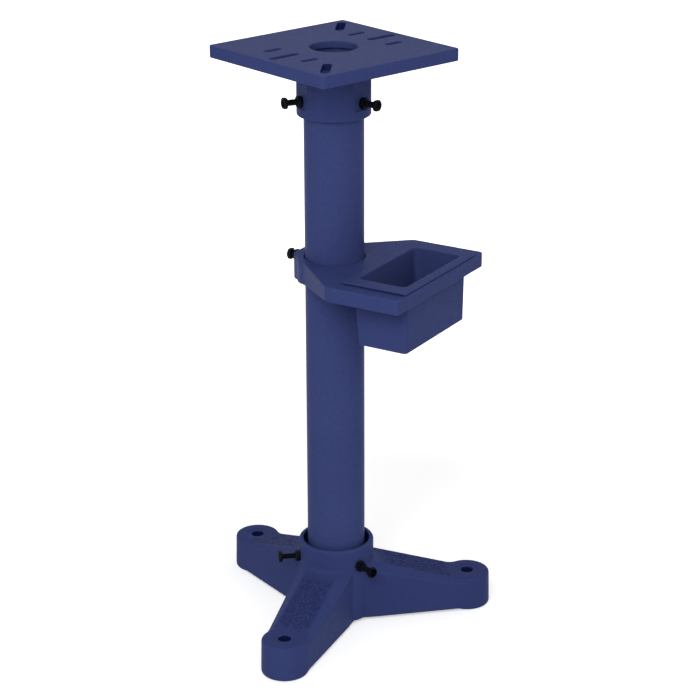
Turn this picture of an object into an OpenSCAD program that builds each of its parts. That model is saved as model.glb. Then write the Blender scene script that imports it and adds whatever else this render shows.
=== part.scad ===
// Pedestal stand for a bench grinder: a three-legged cast base, a round steel column,
// a slotted square head casting, and a frame bracket on the column that holds a cast water pot.
// The origin is on the floor at the column's axis, +Z points up, and the plate's edges follow X and Y.

/* [Column] */
// Height of the head plate's top face above the floor
stand_h = 780; // [650:1:1000]
// Outside diameter of the column tube
tube_d = 76.2; // [70:0.1:85]
// Wall of the column tube
tube_wall = 3; // [2:0.5:5]

/* [Base] */
// Radius of the circle through the floor bolt holes
foot_reach = 180; // [165:1:240]
// Widest diameter of a foot
foot_d = 62; // [56:1:70]
// Height of a foot's flat top
foot_h = 48; // [42:1:54]
// Diameter of the floor bolt holes
foot_hole_d = 16; // [9:0.5:18]
// Height of the hub that holds the column
hub_h = 111; // [106:1:135]
// Radial thickness of the hub
hub_wall = 11.5; // [9:0.5:16]
// Width of the dark relief between the hub's mouth and the column
hub_mouth_gap = 5.5; // [2:0.5:6.5]
// Height of a leg's sloping top where it leaves the hub
leg_root_h = 80; // [72:1:84]
// Width of a leg where it leaves the hub
leg_root_w = 74; // [64:1:80]
// Width of the bevels along a leg's top edges, seen from above
leg_bevel = 9; // [5:0.5:11]
// Thickness of the hollow legs' walls
leg_wall = 8; // [6:0.5:10]
// Height of the casting's lower edge above the floor between the feet
floor_gap = 4; // [2:0.5:7]
// Turn of the base about the column
base_turn = -2.3; // [-180:0.1:180]

/* [Head] */
// Side of the square head plate
plate_w = 220; // [200:1:260]
// Depth of the head plate's rim
plate_rim_h = 16; // [13:0.5:22]
// Thickness of the head plate's web
plate_web = 9; // [6:0.5:11]
// Diameter of the head plate's central hole
plate_hole_d = 60; // [40:1:64]
// Radius of the head plate's corners
plate_corner_r = 3; // [1:0.5:12]
// Radial thickness of the head's socket
socket_wall = 8.4; // [7:0.2:12]
// Distance from the head plate's top face to the socket's lower end
socket_h = 85; // [78:1:110]
// Depth of the flats on the socket behind the clamp bolts
socket_flat_depth = 3.5; // [1:0.5:5]

/* [Plate slots] */
// Width of the long slots
slot_w = 9; // [7:0.5:12]
// Length of the long slots, end to end
slot_l = 45; // [30:1:50]
// Distance between the two long slots
slot_span = 158; // [150:1:164]
// Width of the short slots
short_slot_w = 8; // [6:0.5:10]
// Length of the short slots, end to end
short_slot_l = 26; // [16:1:30]
// Distance between the short slots along X
short_span_x = 136; // [124:1:150]
// Distance between the short slots along Y
short_span_y = 70; // [60:1:80]
// Width of the slots at two of the corners
corner_slot_w = 11; // [8:0.5:14]
// Length of the slots at two of the corners
corner_slot_l = 48; // [36:1:56]
// Distance of a corner slot's middle from the plate's centre, along each side
corner_slot_at = 81; // [76:1:84]

/* [Tray bracket] */
// Height of the bracket's flat top above the floor, where it is clamped
tray_h = 508; // [300:1:600]
// Direction of the bracket's frame about the column
tray_turn = 288; // [0:1:360]
// Width of the bracket across its frame
tray_w = 220; // [212:1:250]
// Distance from the column's axis to the frame's front face
tray_reach = 156.5; // [150:0.5:165]
// Thickness of the bar that closes the frame in front of the pot
tray_bar_t = 5.5; // [4:0.5:7]
// Distance from the column's axis to the corners where the bracket is full width
tray_shoulder = 54; // [45:1:64]
// Distance from the column's axis to the flat rear pad
tray_pad_reach = 53; // [52:0.5:58]
// Width of the rear pad
tray_pad_w = 29; // [22:1:34]
// Thickness of the bracket's top
tray_top_t = 6; // [4:0.5:8]
// Depth of the bracket's skirt round the frame
tray_skirt_h = 19; // [14:0.5:24]
// Depth of the bracket at its rear pad, from where its lower edge slopes up to the frame's depth
tray_pad_h = 35; // [26:0.5:44]
// Thickness of the bracket's skirt
tray_skirt_t = 6; // [4:0.5:7]
// Radial gap between the collar and the column, so that the bracket slides
tray_gap = 1; // [0.5:0.1:1.5]

/* [Water pot] */
// Length of the pot's opening
pot_open_l = 143; // [130:1:150]
// Width of the pot's opening
pot_open_w = 67; // [56:1:69]
// Thickness of the pot's walls and floor
pot_wall = 5; // [3:0.5:6]
// Length of the pot's rim
pot_rim_l = 183; // [174:1:200]
// Width of the pot's rim
pot_rim_w = 91; // [88:0.5:98]
// Thickness of the pot's rim
pot_rim_t = 4; // [3:0.5:6]
// Height of the pot, rim and floor included
pot_h = 86; // [70:1:95]
// Draft of the pot's front and ends
pot_draft = 0.8; // [0.5:0.1:3]
// Draft of the pot's rear, the side towards the column
pot_rear_draft = 4.5; // [3.5:0.1:6]

/* [Clamp bolts] */
// Thread diameter of the clamp bolts
bolt_d = 8; // [6:0.5:9]
// Width across flats of the bolt heads and lock nuts
bolt_af = 13; // [11:0.5:14]
// Thickness of the bolt heads
bolt_head_h = 5.3; // [4:0.1:6]
// Thickness of the lock nuts
nut_h = 6.5; // [5:0.1:7]
// Length of the base's bolts under the head
base_bolt_l = 35; // [32:1:45]
// Length of the head's and the tray's bolts under the head
head_bolt_l = 25; // [24:1:35]
// Height of the base's bolts above the floor
base_bolt_h = 86; // [84:0.5:89]
// Distance of the head's bolts below the plate's top face
head_bolt_drop = 65; // [62:0.5:68]
// Distance of the tray's bolt below the bracket's top face
tray_bolt_drop = 8; // [8:0.5:12]
// Direction of the first of the head's three bolts
head_bolt_turn = 42.7; // [0:0.1:120]

/* [Hidden] */
$fn = 96;

// Fits shared by several pieces
socket_fit = 0.4;       // radial gap between the column and its sockets
bolt_hole_fit = 0.1;    // radial gap between a bolt and its hole
bolt_tip_gap = 0.3;     // between a clamp bolt's tip and the column
nut_seat_gap = 0.1;     // between a lock nut and the casting behind it
pot_fit = 1.5;          // between the pot's body and the frame round it
cut_over = 1;           // how far a cutting shape runs past the face that it cuts
leg_count = 3;
leg_pitch = 360 / leg_count;
hex_sides = 6;
half_turn = 180;
quarter_turn = 90;
arc_steps = 6;          // straight steps in a rounded corner of an outline

tube_r = tube_d / 2;
socket_r = tube_r + socket_fit;

// Base
hub_r = socket_r + hub_wall;
hub_mouth_r = tube_r + hub_mouth_gap;
hub_edge_r = 3;
hub_lift = 1.5;         // how far the hub's lower end lies above the legs' lower edges
hub_mouth_depth = 12;
hub_ledge_h = 12;       // height of the ledge that the column stands on
hub_ledge_w = 5;        // how far the ledge reaches in under the column
foot_r = foot_d / 2;
foot_lean = 1;          // how far a foot's wall leans in by its top
foot_top_r = foot_r - foot_lean;
foot_edge_r = 4;
foot_top_edge_r = 2;
foot_roof = 10;         // iron left over the hollow under a foot
foot_post_wall = 7;     // iron round the bolt hole under a foot
foot_seat_w = 7;        // width of the machined ring round a foot's bolt hole
foot_seat_r = foot_hole_d / 2 + foot_seat_w;
foot_seat_depth = 0.8;
leg_end_back = 22;      // from the bolt hole back to where a leg's top is as low as the foot
leg_end_x = foot_reach - leg_end_back;
leg_root_half = leg_root_w / 2;
leg_fillet_r = 9;
blend_bite = 0.4;       // how far the blend's edges sink into the hub and the leg
leg_slope = (leg_root_h - foot_h) / (leg_end_x - hub_r);
leg_slope_angle = atan(leg_slope);
leg_taper_angle = atan((leg_root_half - foot_r) / (foot_reach - hub_r));
bolt_spot_margin = 2.5;
bolt_spot_d = bolt_af + 2 * bolt_spot_margin;
bolt_spot_depth = 0.8;
base_bolt_angle = base_turn + quarter_turn + leg_pitch / 2;
column_foot_z = hub_ledge_h;

// Head
column_top_z = stand_h - plate_web;
head_socket_r = socket_r + socket_wall;
head_socket_z = stand_h - socket_h;
head_boss_wall = 12;    // how far the round pad under the plate stands out from the socket
head_boss_r = head_socket_r + head_boss_wall;
head_fillet_r = 10;
head_rim_t = 10;        // thickness of the plate's rim
head_rib_t = 8;         // thickness of the ribs under the plate
head_edge_r = 1.5;      // chamfer at the socket's mouth
socket_collar_h = 11.5; // height of the round collar left below the flats
socket_flat_z = head_socket_z + socket_collar_h;
socket_flat_h = 46;
head_bolt_z = stand_h - head_bolt_drop;
corner_slot_turn = 45;

// Tray bracket, drawn with its frame towards +X and its top face at zero height
tray_bore_r = tube_r + tray_gap;
tray_collar_wall = 9;
tray_collar_r = tray_bore_r + tray_collar_wall;
tray_rib_t = 6;
tray_corner_r = 4;
tray_edge_r = 2;
tray_bolt_turn = tray_turn + half_turn;

// Water pot, in the middle of the frame
pot_top_l = pot_open_l + 2 * pot_wall;
pot_top_w = pot_open_w + 2 * pot_wall;
pot_body_h = pot_h - pot_rim_t;
pot_draft_in = pot_body_h * tan(pot_draft);
pot_rear_in = pot_body_h * tan(pot_rear_draft);
pot_base_l = pot_top_l - 2 * pot_draft_in;
pot_base_w = pot_top_w - pot_draft_in - pot_rear_in;
pot_base_shift = (pot_rear_in - pot_draft_in) / 2;  // from the rim's middle forwards to the base's
pot_corner_r = 5;
pot_rim_corner_r = 3;
pot_cavity_h = pot_h - pot_wall;
frame_l = pot_top_l + 2 * pot_fit;
frame_w = pot_top_w + 2 * pot_fit;
frame_corner_r = 5;
pot_x = tray_reach - tray_bar_t - frame_w / 2;

// Outline of the bracket from above: rear pad, slanting sides and the frame round the pot
tray_outline = [[-tray_pad_reach, -tray_pad_w / 2], [tray_shoulder, -tray_w / 2], [tray_reach, -tray_w / 2],
                [tray_reach, tray_w / 2], [tray_shoulder, tray_w / 2], [-tray_pad_reach, tray_pad_w / 2]];
tray_radii = [tray_edge_r, tray_corner_r, tray_corner_r, tray_corner_r, tray_corner_r, tray_edge_r];

// Bolts
bolt_tip_r = tube_r + bolt_tip_gap;
bolt_tip_chamfer = 1;
hex_chamfer_angle = 30;
base_nut_r = hub_r - bolt_spot_depth + nut_seat_gap;
head_nut_r = head_socket_r - socket_flat_depth + nut_seat_gap;
tray_nut_r = tray_pad_reach + nut_seat_gap;

function unit(v) = v / norm(v);

// Points of an arc that rounds the corner b, between its neighbours a and c
function corner_arc(a, b, c, r) =
    let (u = unit(a - b), v = unit(c - b), half = acos(u * v) / 2,
         start = b + u * r / tan(half), end = b + v * r / tan(half),
         centre = b + unit(u + v) * r / sin(half),
         from = atan2(start[1] - centre[1], start[0] - centre[0]),
         to = atan2(end[1] - centre[1], end[0] - centre[0]),
         turn = to - from,
         sweep = turn > half_turn ? turn - 2 * half_turn
               : turn < -half_turn ? turn + 2 * half_turn : turn)
    [for (i = [0 : arc_steps])
        centre + r * [cos(from + sweep * i / arc_steps), sin(from + sweep * i / arc_steps)]];

// An outline with its corners rounded, each by its own radius, where zero keeps it sharp
function rounded(points, radii) =
    [for (i = [0 : len(points) - 1])
        let (n = len(points), a = points[(i + n - 1) % n], b = points[i], c = points[(i + 1) % n])
        each (radii[i] > 0 ? corner_arc(a, b, c, radii[i]) : [b])];

// An anticlockwise outline moved inwards by the thickness t
function inset(points, t) =
    [for (i = [0 : len(points) - 1])
        let (n = len(points), a = points[(i + n - 1) % n], b = points[i], c = points[(i + 1) % n],
             u = unit(b - a), v = unit(c - b), p = [-u[1], u[0]], q = [-v[1], v[0]])
        b + t * (p + q) / (1 + p * q)];

// Outline of a rectangle centred on the origin
function box_outline(l, w) = [[-l, -w] / 2, [l, -w] / 2, [l, w] / 2, [-l, w] / 2];

// Rectangle with round corners
module round_box(l, w, r) {
    polygon(rounded(box_outline(l, w), [r, r, r, r]));
}

// Straight slot with round ends, along X
module slot(l, w) {
    square([l - w, w], center = true);
    for (side = [-1, 1])
        translate([side * (l - w) / 2, 0])
            circle(d = w);
}

// Radial hole for a clamp bolt, with a spot face for its nut at the radius seat_r
module bolt_way(reach, seat_r) {
    rotate([0, quarter_turn, 0]) {
        cylinder(d = bolt_d + 2 * bolt_hole_fit, h = reach);
        translate([0, 0, seat_r])
            cylinder(d = bolt_spot_d, h = reach - seat_r);
    }
}

// Hexagonal prism along X with its outer end chamfered, as on a bolt head, or both ends, as on a nut
module hex_piece(h, both_ends) {
    flat_r = bolt_af / 2;
    out_r = flat_r / cos(half_turn / hex_sides) + cut_over;
    drop = (out_r - flat_r) * tan(hex_chamfer_angle);
    rotate([0, quarter_turn, 0])
        intersection() {
            cylinder(r = flat_r / cos(half_turn / hex_sides), h = h, $fn = hex_sides);
            rotate_extrude()
                polygon(concat([[0, 0]], both_ends ? [[flat_r, 0], [out_r, drop]] : [[out_r, 0]],
                               [[out_r, h - drop], [flat_r, h], [0, h]]));
        }
}

// Clamp bolt pointing inwards along X, with its tip against the column
module clamp_bolt(length) {
    translate([bolt_tip_r, 0, 0])
        rotate([0, quarter_turn, 0])
            rotate_extrude()
                polygon([[0, 0], [bolt_d / 2 - bolt_tip_chamfer, 0], [bolt_d / 2, bolt_tip_chamfer],
                         [bolt_d / 2, length + bolt_head_h / 2], [0, length + bolt_head_h / 2]]);
    translate([bolt_tip_r + length, 0, 0])
        hex_piece(bolt_head_h, false);
}

// Lock nut on a clamp bolt, with its inner face at the radius seat_r
module lock_nut(seat_r) {
    translate([seat_r, 0, 0])
        difference() {
            hex_piece(nut_h, true);
            translate([-cut_over, 0, 0])
                rotate([0, quarter_turn, 0])
                    cylinder(d = bolt_d + 2 * bolt_hole_fit, h = nut_h + 2 * cut_over);
        }
}

// Height of a leg's top over the floor at the distance x from the column's axis
function leg_top(x) = leg_root_h - leg_slope * (x - hub_r);

// Outline of a leg from above, from the column's axis to the middle of the foot
module leg_plan(half_root, half_end) {
    polygon([[0, -half_root], [hub_r, -half_root], [foot_reach, -half_end],
             [foot_reach, half_end], [hub_r, half_root], [0, half_root]]);
}

// Side view of a leg, extruded across it
module leg_profile(from_x, to_x, low, drop) {
    rotate([quarter_turn, 0, 0])
        translate([0, 0, -leg_root_w])
            linear_extrude(2 * leg_root_w)
                polygon([[from_x, low], [to_x, low], [to_x, leg_top(max(to_x, leg_end_x)) - drop],
                         [from_x, leg_top(from_x) - drop]]);
}

// Sloping cut along one top edge of a leg, on the side given by +1 or -1
module leg_bevel_cut(side) {
    mirror([0, side < 0 ? 1 : 0, 0])
        translate([hub_r, leg_root_half - leg_bevel, leg_root_h])
            rotate([0, leg_slope_angle, -leg_taper_angle])
                rotate([-half_turn / 4, 0, 0])
                    translate([-hub_r, 0, 0])
                        cube([hub_r + foot_reach, leg_root_w, leg_root_w]);
}

// Concave blend between the hub's wall and a leg's sloping top
module leg_root_blend() {
    wall_r = hub_r - blend_bite;
    blend = corner_arc([wall_r, hub_h], [wall_r, leg_top(wall_r) - blend_bite],
                       [leg_end_x, leg_top(leg_end_x) - blend_bite], leg_fillet_r);
    inner_r = hub_r - hub_wall / 2;
    outer_r = blend[arc_steps][0];
    low = leg_top(outer_r) - leg_wall / 2;
    half = leg_root_half - leg_bevel - blend_bite;
    intersection() {
        rotate_extrude()
            polygon(concat([[inner_r, low], [inner_r, blend[0][1]]], blend, [[outer_r, low]]));
        translate([0, -half, 0])
            cube([hub_r + leg_fillet_r, 2 * half, hub_h]);
    }
}

// One leg, hollow below, without its foot
module leg() {
    difference() {
        intersection() {
            leg_profile(0, foot_reach, floor_gap, 0);
            linear_extrude(hub_h)
                leg_plan(leg_root_half, foot_r - foot_edge_r / 4);
        }
        for (side = [-1, 1])
            leg_bevel_cut(side);
        intersection() {
            leg_profile(0, foot_reach - foot_r, -cut_over, leg_wall);
            linear_extrude(hub_h)
                leg_plan(leg_root_half - leg_wall, foot_r - leg_wall);
        }
    }
    leg_root_blend();
}

// Solid round foot
module foot() {
    bottom = corner_arc([0, 0], [foot_r, 0], [foot_top_r, foot_h], foot_edge_r);
    top = corner_arc([foot_r, 0], [foot_top_r, foot_h], [0, foot_h], foot_top_edge_r);
    rotate_extrude()
        polygon(concat([[0, 0]], bottom, top, [[0, foot_h]]));
}

// What is cut from a foot: the bolt hole, its machined seat, and the hollow round the bolt hole's post
module foot_cuts() {
    translate([0, 0, -cut_over])
        cylinder(d = foot_hole_d, h = foot_h + 2 * cut_over);
    translate([0, 0, foot_h - foot_seat_depth])
        cylinder(r = foot_seat_r, h = foot_seat_depth + cut_over);
    translate([0, 0, -cut_over])
        difference() {
            cylinder(r = foot_r - leg_wall, h = foot_h - foot_roof + cut_over);
            cylinder(r = foot_hole_d / 2 + foot_post_wall, h = foot_h);
        }
}

// Hub with the column's socket, the relieved mouth and the ledge below
module hub() {
    ledge_r = tube_r - hub_ledge_w;
    relief_z = hub_h - hub_mouth_depth;
    low_z = floor_gap + hub_lift;
    rim = corner_arc([hub_r, 0], [hub_r, hub_h], [0, hub_h], hub_edge_r);
    rotate_extrude()
        polygon(concat([[ledge_r, low_z], [hub_r, low_z]], rim,
                       [[hub_mouth_r, hub_h], [hub_mouth_r, relief_z],
                        [socket_r, relief_z - (hub_mouth_r - socket_r)], [socket_r, hub_ledge_h],
                        [ledge_r, hub_ledge_h]]));
}

module base_casting() {
    color([0.20, 0.24, 0.42])
        rotate([0, 0, base_turn + quarter_turn])
            difference() {
                union() {
                    difference() {
                        for (i = [0 : leg_count - 1])
                            rotate([0, 0, i * leg_pitch])
                                leg();
                        cylinder(r = hub_r - hub_wall / 4, h = hub_h);
                    }
                    for (i = [0 : leg_count - 1])
                        rotate([0, 0, i * leg_pitch])
                            translate([foot_reach, 0, 0])
                                foot();
                    hub();
                }
                for (i = [0 : leg_count - 1])
                    rotate([0, 0, i * leg_pitch])
                        translate([foot_reach, 0, 0])
                            foot_cuts();
                for (i = [0 : leg_count - 1])
                    rotate([0, 0, (i + 1 / 2) * leg_pitch])
                        translate([0, 0, base_bolt_h])
                            bolt_way(hub_r + hub_wall, hub_r - bolt_spot_depth);
            }
}

module column_tube() {
    color([0.21, 0.25, 0.43])
        translate([0, 0, column_foot_z])
            difference() {
                cylinder(r = tube_r, h = column_top_z - column_foot_z);
                translate([0, 0, -cut_over])
                    cylinder(r = tube_r - tube_wall, h = column_top_z - column_foot_z + 2 * cut_over);
            }
}

// All the slots of the head plate, seen from above
module plate_slots() {
    for (side = [-1, 1]) {
        translate([side * slot_span / 2, 0])
            slot(slot_l, slot_w);
        for (end = [-1, 1])
            translate([side * short_span_x / 2, end * short_span_y / 2])
                slot(short_slot_l, short_slot_w);
        translate([side * corner_slot_at, side * corner_slot_at])
            rotate(corner_slot_turn)
                slot(corner_slot_l, corner_slot_w);
    }
}

// Ribs under the head plate, out to the two corners without slots and to two sides
module plate_ribs() {
    for (turn = [quarter_turn, -quarter_turn])
        rotate([0, 0, turn])
            translate([0, -head_rib_t / 2, 0])
                cube([(plate_w - head_rim_t) / 2, head_rib_t, plate_rim_h - plate_web]);
    for (turn = [corner_slot_turn + quarter_turn, corner_slot_turn - quarter_turn])
        rotate([0, 0, turn])
            translate([0, -head_rib_t / 2, 0])
                cube([(plate_w - 2 * head_rim_t) / sqrt(2), head_rib_t, plate_rim_h - plate_web]);
}

module head_casting() {
    rim_z = stand_h - plate_rim_h;
    hollow_w = plate_w - 2 * head_rim_t;
    color([0.20, 0.24, 0.42])
        difference() {
            union() {
                translate([0, 0, rim_z])
                    difference() {
                        linear_extrude(plate_rim_h)
                            round_box(plate_w, plate_w, plate_corner_r);
                        translate([0, 0, -cut_over])
                            linear_extrude(plate_rim_h - plate_web + cut_over)
                                round_box(hollow_w, hollow_w, plate_corner_r);
                    }
                translate([0, 0, rim_z]) {
                    cylinder(r = head_boss_r, h = plate_rim_h - plate_web / 2);
                    plate_ribs();
                }
                translate([0, 0, head_socket_z])
                    cylinder(r = head_socket_r, h = socket_h - plate_web / 2);
                translate([0, 0, rim_z])
                    rotate_extrude()
                        polygon(concat([[socket_r, plate_web / 2]], [[socket_r, -head_fillet_r]],
                                       corner_arc([head_socket_r, -socket_h], [head_socket_r, 0],
                                                  [plate_w, 0], head_fillet_r),
                                       [[head_socket_r + head_fillet_r, plate_web / 2]]));
            }
            translate([0, 0, head_socket_z - cut_over])
                cylinder(r = socket_r, h = column_top_z - head_socket_z + cut_over);
            translate([0, 0, head_socket_z])
                rotate_extrude()
                    polygon([[0, -cut_over], [socket_r + head_edge_r + cut_over, -cut_over],
                             [socket_r, head_edge_r], [0, head_edge_r]]);
            cylinder(d = plate_hole_d, h = stand_h + cut_over);
            translate([0, 0, rim_z - cut_over])
                linear_extrude(plate_rim_h + 2 * cut_over)
                    plate_slots();
            for (i = [0 : leg_count - 1])
                rotate([0, 0, head_bolt_turn + i * leg_pitch]) {
                    translate([head_socket_r - socket_flat_depth, -head_socket_r, socket_flat_z])
                        cube([2 * head_socket_r, 2 * head_socket_r, socket_flat_h]);
                    translate([0, 0, head_bolt_z])
                        rotate([0, quarter_turn, 0])
                            cylinder(d = bolt_d + 2 * bolt_hole_fit, h = head_boss_r);
                }
        }
}

// Ribs under the bracket, from the collar to the corners of its skirt
module tray_ribs() {
    corner = [tray_shoulder, tray_w / 2 - tray_skirt_t];
    for (side = [-1, 1])
        rotate([0, 0, side * atan2(corner[1], corner[0])])
            translate([tray_bore_r, -tray_rib_t / 2, -tray_skirt_h + tray_rib_t])
                cube([norm(corner) - tray_bore_r, tray_rib_t, tray_skirt_h - tray_rib_t]);
}

// The frame's opening from above, grown by a margin on every side
module frame_opening(margin) {
    translate([pot_x, 0])
        round_box(frame_w + 2 * margin, frame_l + 2 * margin, frame_corner_r);
}

// Space that the bracket's side view fills: deep at the rear pad, and up to the skirt's depth at the shoulder
module tray_depth() {
    rotate([quarter_turn, 0, 0])
        translate([0, 0, -tray_w])
            linear_extrude(2 * tray_w)
                polygon([[-tray_pad_reach, 0], [-tray_pad_reach, -tray_pad_h],
                         [tray_shoulder, -tray_skirt_h], [tray_reach, -tray_skirt_h], [tray_reach, 0]]);
}

module tray_bracket() {
    color([0.20, 0.24, 0.42])
        translate([0, 0, tray_h])
            rotate([0, 0, tray_turn])
                difference() {
                    intersection() {
                        tray_depth();
                        union() {
                            difference() {
                                translate([0, 0, -tray_pad_h - cut_over])
                                    linear_extrude(tray_pad_h + cut_over)
                                        polygon(rounded(tray_outline, tray_radii));
                                translate([0, 0, -tray_pad_h - 2 * cut_over])
                                    linear_extrude(tray_pad_h - tray_top_t + 2 * cut_over)
                                        difference() {
                                            polygon(inset(tray_outline, tray_skirt_t));
                                            frame_opening(tray_skirt_t);
                                        }
                            }
                            tray_ribs();
                            translate([0, 0, -tray_pad_h - cut_over]) {
                                cylinder(r = tray_collar_r, h = tray_pad_h);
                                translate([-tray_pad_reach, -tray_pad_w / 2, 0])
                                    cube([tray_pad_reach, tray_pad_w, tray_pad_h]);
                            }
                        }
                    }
                    translate([0, 0, -tray_pad_h - cut_over]) {
                        cylinder(r = tray_bore_r, h = tray_pad_h + 2 * cut_over);
                        linear_extrude(tray_pad_h + 2 * cut_over)
                            frame_opening(0);
                    }
                    translate([0, 0, -tray_bolt_drop])
                        rotate([0, 0, half_turn])
                            rotate([0, quarter_turn, 0])
                                cylinder(d = bolt_d + 2 * bolt_hole_fit, h = tray_pad_reach + cut_over);
                }
}

// Upright block with round corners that widens from its base to its top, centred on Z at the top,
// and with its base's middle moved along X by the shift
module leaning_block(base, top, shift, h, r) {
    widening = [top[0] / base[0], top[1] / base[1]];
    pole_x = widening[0] * shift / (widening[0] - 1);
    translate([pole_x, 0, 0])
        linear_extrude(h, slices = 1, scale = widening)
            translate([shift - pole_x, 0])
                round_box(base[0], base[1], r);
}

module water_pot() {
    wall = [pot_wall, pot_wall];
    top = [pot_top_w, pot_top_l];
    base = [pot_base_w, pot_base_l];
    color([0.20, 0.24, 0.42])
        translate([0, 0, tray_h])
            rotate([0, 0, tray_turn])
                translate([pot_x, 0, 0])
                    difference() {
                        union() {
                            linear_extrude(pot_rim_t)
                                round_box(pot_rim_w, pot_rim_l, pot_rim_corner_r);
                            translate([0, 0, -pot_body_h])
                                leaning_block(base, top, pot_base_shift, pot_body_h, pot_corner_r);
                        }
                        translate([0, 0, pot_rim_t - pot_cavity_h])
                            leaning_block(base - 2 * wall, top - 2 * wall, pot_base_shift,
                                          pot_cavity_h + cut_over, pot_corner_r);
                    }
}

// Places a piece of a base bolt: the bolts stand between the legs
module at_base_bolt(i) {
    rotate([0, 0, base_bolt_angle + i * leg_pitch])
        translate([0, 0, base_bolt_h])
            children();
}

// Places a piece of a head bolt
module at_head_bolt(i) {
    rotate([0, 0, head_bolt_turn + i * leg_pitch])
        translate([0, 0, head_bolt_z])
            children();
}

// Places a piece of the tray's bolt, behind the column
module at_tray_bolt() {
    rotate([0, 0, tray_bolt_turn])
        translate([0, 0, tray_h - tray_bolt_drop])
            children();
}

module base_bolt(i) {
    color([0.05, 0.05, 0.06])
        at_base_bolt(i)
            clamp_bolt(base_bolt_l);
}

module base_nut(i) {
    color([0.05, 0.05, 0.06])
        at_base_bolt(i)
            lock_nut(base_nut_r);
}

module head_bolt(i) {
    color([0.05, 0.05, 0.06])
        at_head_bolt(i)
            clamp_bolt(head_bolt_l);
}

module head_nut(i) {
    color([0.05, 0.05, 0.06])
        at_head_bolt(i)
            lock_nut(head_nut_r);
}

module tray_bolt() {
    color([0.05, 0.05, 0.06])
        at_tray_bolt()
            clamp_bolt(head_bolt_l);
}

module tray_nut() {
    color([0.05, 0.05, 0.06])
        at_tray_bolt()
            lock_nut(tray_nut_r);
}

base_casting();
column_tube();
head_casting();
tray_bracket();
water_pot();
base_bolt(0);  // base_bolt_1
base_bolt(1);  // base_bolt_2
base_bolt(2);  // base_bolt_3
base_nut(0);  // base_nut_1
base_nut(1);  // base_nut_2
base_nut(2);  // base_nut_3
head_bolt(0);  // head_bolt_1
head_bolt(1);  // head_bolt_2
head_bolt(2);  // head_bolt_3
head_nut(0);  // head_nut_1
head_nut(1);  // head_nut_2
head_nut(2);  // head_nut_3
tray_bolt();
tray_nut();
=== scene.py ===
"""Looks of a bench grinder's pedestal stand.

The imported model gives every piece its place. This script casts the base, the head, the tray bracket and
the water pot again with soft foundry edges, turns the column and the clamp bolts, paints them all, and
sets a plain studio round them. All lengths are metres in the model's own frame, with +Z up.
"""

from __future__ import annotations

import logging
import math
from dataclasses import dataclass, field
from enum import Enum
from typing import Callable, ClassVar, Iterable, Sequence

import bmesh
import bpy
from mathutils import Matrix, Vector

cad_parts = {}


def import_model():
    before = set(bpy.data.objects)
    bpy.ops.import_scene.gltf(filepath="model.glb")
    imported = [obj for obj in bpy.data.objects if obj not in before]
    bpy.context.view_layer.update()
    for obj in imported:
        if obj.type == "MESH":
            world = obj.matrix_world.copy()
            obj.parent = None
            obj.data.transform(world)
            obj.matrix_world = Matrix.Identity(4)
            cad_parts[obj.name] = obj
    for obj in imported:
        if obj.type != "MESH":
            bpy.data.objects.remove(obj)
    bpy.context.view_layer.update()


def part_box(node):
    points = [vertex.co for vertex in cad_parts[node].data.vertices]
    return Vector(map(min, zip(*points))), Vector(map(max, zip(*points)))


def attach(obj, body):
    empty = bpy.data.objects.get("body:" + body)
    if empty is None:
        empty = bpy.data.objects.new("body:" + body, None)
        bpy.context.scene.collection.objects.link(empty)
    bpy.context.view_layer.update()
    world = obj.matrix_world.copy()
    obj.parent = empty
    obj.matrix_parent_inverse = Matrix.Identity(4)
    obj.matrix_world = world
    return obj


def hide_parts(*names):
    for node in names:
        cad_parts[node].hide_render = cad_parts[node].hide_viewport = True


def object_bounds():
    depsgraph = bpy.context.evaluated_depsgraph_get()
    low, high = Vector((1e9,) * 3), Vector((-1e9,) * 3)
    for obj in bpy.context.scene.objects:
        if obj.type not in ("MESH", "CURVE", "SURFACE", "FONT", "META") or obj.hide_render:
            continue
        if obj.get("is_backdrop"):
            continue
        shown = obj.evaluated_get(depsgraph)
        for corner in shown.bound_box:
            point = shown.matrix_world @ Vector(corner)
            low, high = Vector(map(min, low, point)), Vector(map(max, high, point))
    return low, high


log = logging.getLogger("grinder_stand")

LEGS = 3
LEG_PITCH = math.tau / LEGS
QUARTER = math.pi / 2
OVERRUN = 0.001  # how far a cutting solid runs past the face that it cuts
FAR = 1.0  # how far off a point lies that only gives a direction
WELD = 1e-7  # points nearer than this are one
ROUND_STEPS = 128  # facets round a turned or cast cylinder
HEX_STEPS = 72  # facets round the chamfer of a hexagon
SMALL_STEPS = 48  # facets round a bolt's shank or hole
ARC_STEPS = 8  # facets round the corner of an outline
MOST_TRIANGLES = 190_000  # most triangles of one casting
SEAT_GAP = 0.0001  # how far a lock nut stands off its seat


class Fuse(Enum):
    """How one solid is combined with another."""

    ADD = "UNION"
    CUT = "DIFFERENCE"
    KEEP_SHARED = "INTERSECT"


class Slot(Enum):
    """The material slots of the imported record."""

    CASTING = "painted_casting"
    TUBE = "painted_tube"
    BLACK = "black_steel"


# Outlines


def corner_arc(before: Vector, corner: Vector, after: Vector, radius: float) -> list[Vector]:
    """Points of the arc that rounds one corner of a flat outline.

    Args:
        before: The point before the corner.
        corner: The corner itself.
        after: The point after the corner.
        radius: The arc's radius.

    Returns:
        The arc's points, from the side of `before` to the side of `after`.
    """
    back, ahead = (before - corner).normalized(), (after - corner).normalized()
    half = math.acos(max(-1.0, min(1.0, back.dot(ahead)))) / 2
    centre = corner + (back + ahead).normalized() * radius / math.sin(half)
    start = corner + back * radius / math.tan(half) - centre
    end = corner + ahead * radius / math.tan(half) - centre
    sweep = start.angle_signed(end)
    return [centre + turned(start, -sweep * step / ARC_STEPS) for step in range(ARC_STEPS + 1)]


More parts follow.
